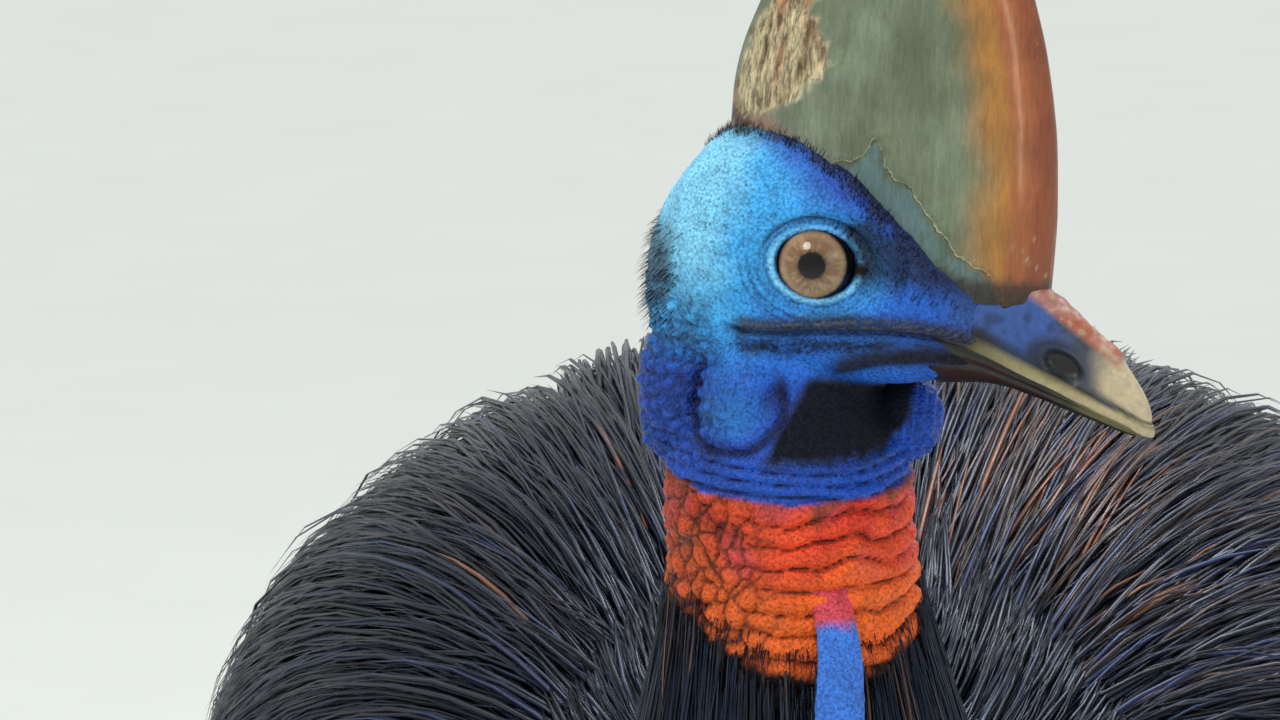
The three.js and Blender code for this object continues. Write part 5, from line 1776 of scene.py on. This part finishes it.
def leg_scales(mesh, sign):
    """Raises the plates and scales on a leg and paints them."""
    points = points_of(mesh)
    points[:, 2] = np.maximum(points[:, 2], 0)
    points = smoothed(mesh, points, 3)
    set_points(mesh, points)
    out = normals_of(mesh)
    z = points[:, 2]
    path = Path(leg_point(sign, FOOT_PATH))
    front = -out[:, 1] / np.maximum(np.hypot(out[:, 0], out[:, 1]), 0.05)
    down = (1 - path.where(2, z)) * path.length
    on_foot = ease(z, 44, 62) * ease(-z, -HOCK - 8, -HOCK + 22)
    on_front = ease(front, 0.25, 0.6) * on_foot
    wave = rumple(points, 12.0, 3.0)
    shin_plate = (down / PLATE["foot"] + 0.25 * wave) % 1
    toe_plate, beside = toe_plates(points, sign, wave)
    toe_top = ease(-z, -44, -26) * ease(out[:, 2], 0.2, 0.6) * (beside < 40)
    plate = np.where(toe_top > 0.3, toe_plate, shin_plate)
    plates = np.maximum(on_front, toe_top)
    edge = np.exp(-((plate / 0.1) ** 2)) + np.exp(-(((1 - plate) / 0.1) ** 2))
    scale = lumps(points, 6.0)
    push = plates * PLATE["raise"] * (0.55 * plate - 0.9 * edge)
    push += (1 - plates) * 0.85 * (scale - 0.55) * ease(z, 2, 8)
    push += 0.25 * rumple(points, 4.0, 2.0)
    points = points + out * push[:, None]
    points[:, 2] = np.maximum(points[:, 2], 0)
    set_points(mesh, points)
    # painted shade: dark in the creases at the plates' edges and between the small scales
    creases = np.maximum(plates * edge, (1 - plates) * ease(-scale, -0.55, -0.2))
    layers = [
        (LEG_PALE, 0.5 * plates * plate),
        (LEG_DARK, 0.85 * creases),
        (LEG_DARK, 0.4 * ease(rumple(points, 40.0, 8.0), 0, 0.5)),
    ]
    store(mesh, "paint", layered(LEG_GREY, layers))


def leg_material():
    """Scaly hide: dry and horny, in the painted colours, which are darker in the creases as painted shade.
    """
    hide = Nodes("leg_scale")
    place = hide.place()
    grain = hide.noise(420, 4, 0.6, place)
    colour = hide.grained(grain, 0.7, 0.7, 1.25)
    hide.bump(grain, 0.0006, 0.5)
    hide.bump(hide.cells(300, place, "SMOOTH_F1"), -0.0005, 0.4)
    return hide.finish(colour, hide.ramp(grain, [(0.3, 0.45), (0.7, 0.68)]), Specular_IOR_Level=0.4)


def foot_pad(sign):
    """The round pad under the toes' roots, cut flat by the floor."""
    rise, around = np.meshgrid(np.linspace(0.03, 3.1, 20), ring_angles(40), indexing="ij")
    flat = FOOT_PAD["radius"] * np.sin(rise)
    high = FOOT_PAD["up"] + FOOT_PAD["high"] * np.cos(rise)
    pad = leg_point(sign, np.stack([flat * np.cos(around), flat * np.sin(around), high], -1))
    pad[..., 2] = np.maximum(pad[..., 2], 0)
    return loft(pad)


def legs():
    scales = leg_material()
    for side, sign in SIDES.items():
        shin_path, foot_path = Path(leg_point(sign, SHIN_PATH)), Path(leg_point(sign, FOOT_PATH))
        shapes = [
            tube(shin_path, lambda t, a: between(SHIN, t)[..., 0], np.linspace(0, 1, 24), 40),
            tube(foot_path, lambda t, a: between(FOOT, t)[..., 0], np.linspace(0, 1, 50), 40),
            foot_pad(sign),
        ]
        shapes += [toe_loft(sign, toe) for toe in TOES.values()]
        mesh = fused(mesh_of("leg_scale_" + side, shapes), LEG_VOXEL)
        leg_scales(mesh, sign)
        nodes = ["shin_" + side, "tarsus_" + side, *(f"toe_{name}_{side}" for name in TOES)]
        piece("leg_scale_" + side, mesh, scales, nodes)


legs()


# Claws: black horn on each toe, blunt and worn at the tip. The inner toe's is a long straight
# dagger. Each is a tapered loft with growth lines down it.
CLAW_SUNK = 12
CLAW_BLACK = tint("#17130f")
CLAW_WORN = tint("#6b5f4c")


def claw(sign, toe):
    s, a = np.meshgrid(np.linspace(0, 1, 70), ring_angles(40), indexing="ij")
    r = toe["radius"] * np.sqrt(1 - 0.92 * s) * (1 - 0.82 * s * s)
    high = toe["radius"] + 1.6 + (2.2 - toe["radius"] - 1.6) * s + 5 * np.sin(np.pi * s)
    ahead = toe["length"] - CLAW_SUNK + (toe["claw"] + CLAW_SUNK) * s
    ridge = 1 + 0.12 * np.maximum(0, np.sin(a)) ** 3
    return loft(toe_point(sign, toe, ahead, 0.8 * r * np.cos(a), high + ridge * r * np.sin(a)))


def claw_material():
    """Claw horn: dark and glossy, with a coarse grain."""
    horn = Nodes("claw_horn")
    grain = horn.noise(350, 4, 0.6)
    colour = horn.grained(grain, 0.7, 0.65, 1.3)
    horn.bump(grain, 0.0004, 0.5)
    return horn.finish(colour, horn.ramp(grain, [(0.3, 0.25), (0.7, 0.45)]), Specular_IOR_Level=0.5)


def claws():
    horn = claw_material()
    for side, sign in SIDES.items():
        root = in_frame((sign * LEG_X, LEG_Y, 0))
        for name, toe in TOES.items():
            mesh = mesh_of(f"claw_horn_{name}_{side}", [claw(sign, toe)])
            points, out = points_of(mesh), normals_of(mesh)
            groove = rumple(points * (0.35, 0.12, 1), 1.6, 2.0)
            points = points + out * np.minimum(0.25 * groove, 0.3)[:, None]
            points[:, 2] = np.maximum(points[:, 2], 1)
            set_points(mesh, points)
            far = np.hypot(*(points - root)[:, :2].T) - toe["length"]
            worn = ease(far / toe["claw"] + 0.2 * groove, 0.7, 1)
            store(mesh, "paint", layered(CLAW_BLACK, [(CLAW_WORN, 0.7 * worn)]))
            piece(f"claw_horn_{name}_{side}", mesh, horn, [f"claw_{name}_{side}"])


claws()


# Wings: tiny arms hidden under the coat. Each carries five long bare quills, black and springy,
# that curve back through the feathers along the flank.
WING = {"along": 1.02, "around": 1.12, "sunk": 20, "quills": 5, "quill": 2.6, "fan": 0.1, "rows": 12}
QUILL_BLACK = tint("#070707")
QUILL_BROWN = tint("#1b1816")


def quill_material():
    """Quill horn: black and a little glossy."""
    horn = Nodes("quill")
    grain = horn.noise(260, 3, 0.5)
    shade = horn.ramp(grain, [(0.3, QUILL_BLACK), (0.7, QUILL_BROWN)])
    horn.bump(grain, 0.0003, 0.4)
    return horn.finish(shade, 0.42, Specular_IOR_Level=0.35)


def arm(sign, s):
    """The arm itself, a short limb that lies on the body under the coat."""
    along, around = WING["along"] + 0.13 * s, sign * (WING["around"] + 0.04 * s)
    spine = body_point(along, around, 4 * s - WING["sunk"] - 8)
    a = ring_angles(20)
    r = (7 + 9 * np.sin(np.pi * s))[:, None]
    across = np.stack([0.7 * r * np.cos(a) * sign, 0 * r * a, r * np.sin(a)], -1)
    return loft(spine[:, None] + across)


def quill(sign, s, q):
    """One quill of the fan, which q counts from 0 to 1."""
    points = body_point(
        WING["along"] + 0.11 + (0.62 - 0.2 * q) * s,
        sign * (WING["around"] - 0.04 + WING["fan"] * q + (0.42 + 0.25 * q) * s * s),
        2 - WING["sunk"] + 8 * np.sin(np.minimum(1, s * 2.2) * np.pi / 2),
    )
    return tube(Path(points), lambda t, a: WING["quill"] * (1 - 0.7 * t), np.linspace(0, 1, 60), 12)


def wings():
    horn = quill_material()
    s = np.linspace(0, 1, WING["rows"])
    for side, sign in SIDES.items():
        quills = [quill(sign, s, q) for q in np.linspace(0, 1, WING["quills"])]
        name = "wing_quills_" + side
        piece(name, mesh_of(name, [arm(sign, s), *quills]), horn, ["wing_" + side])


wings()
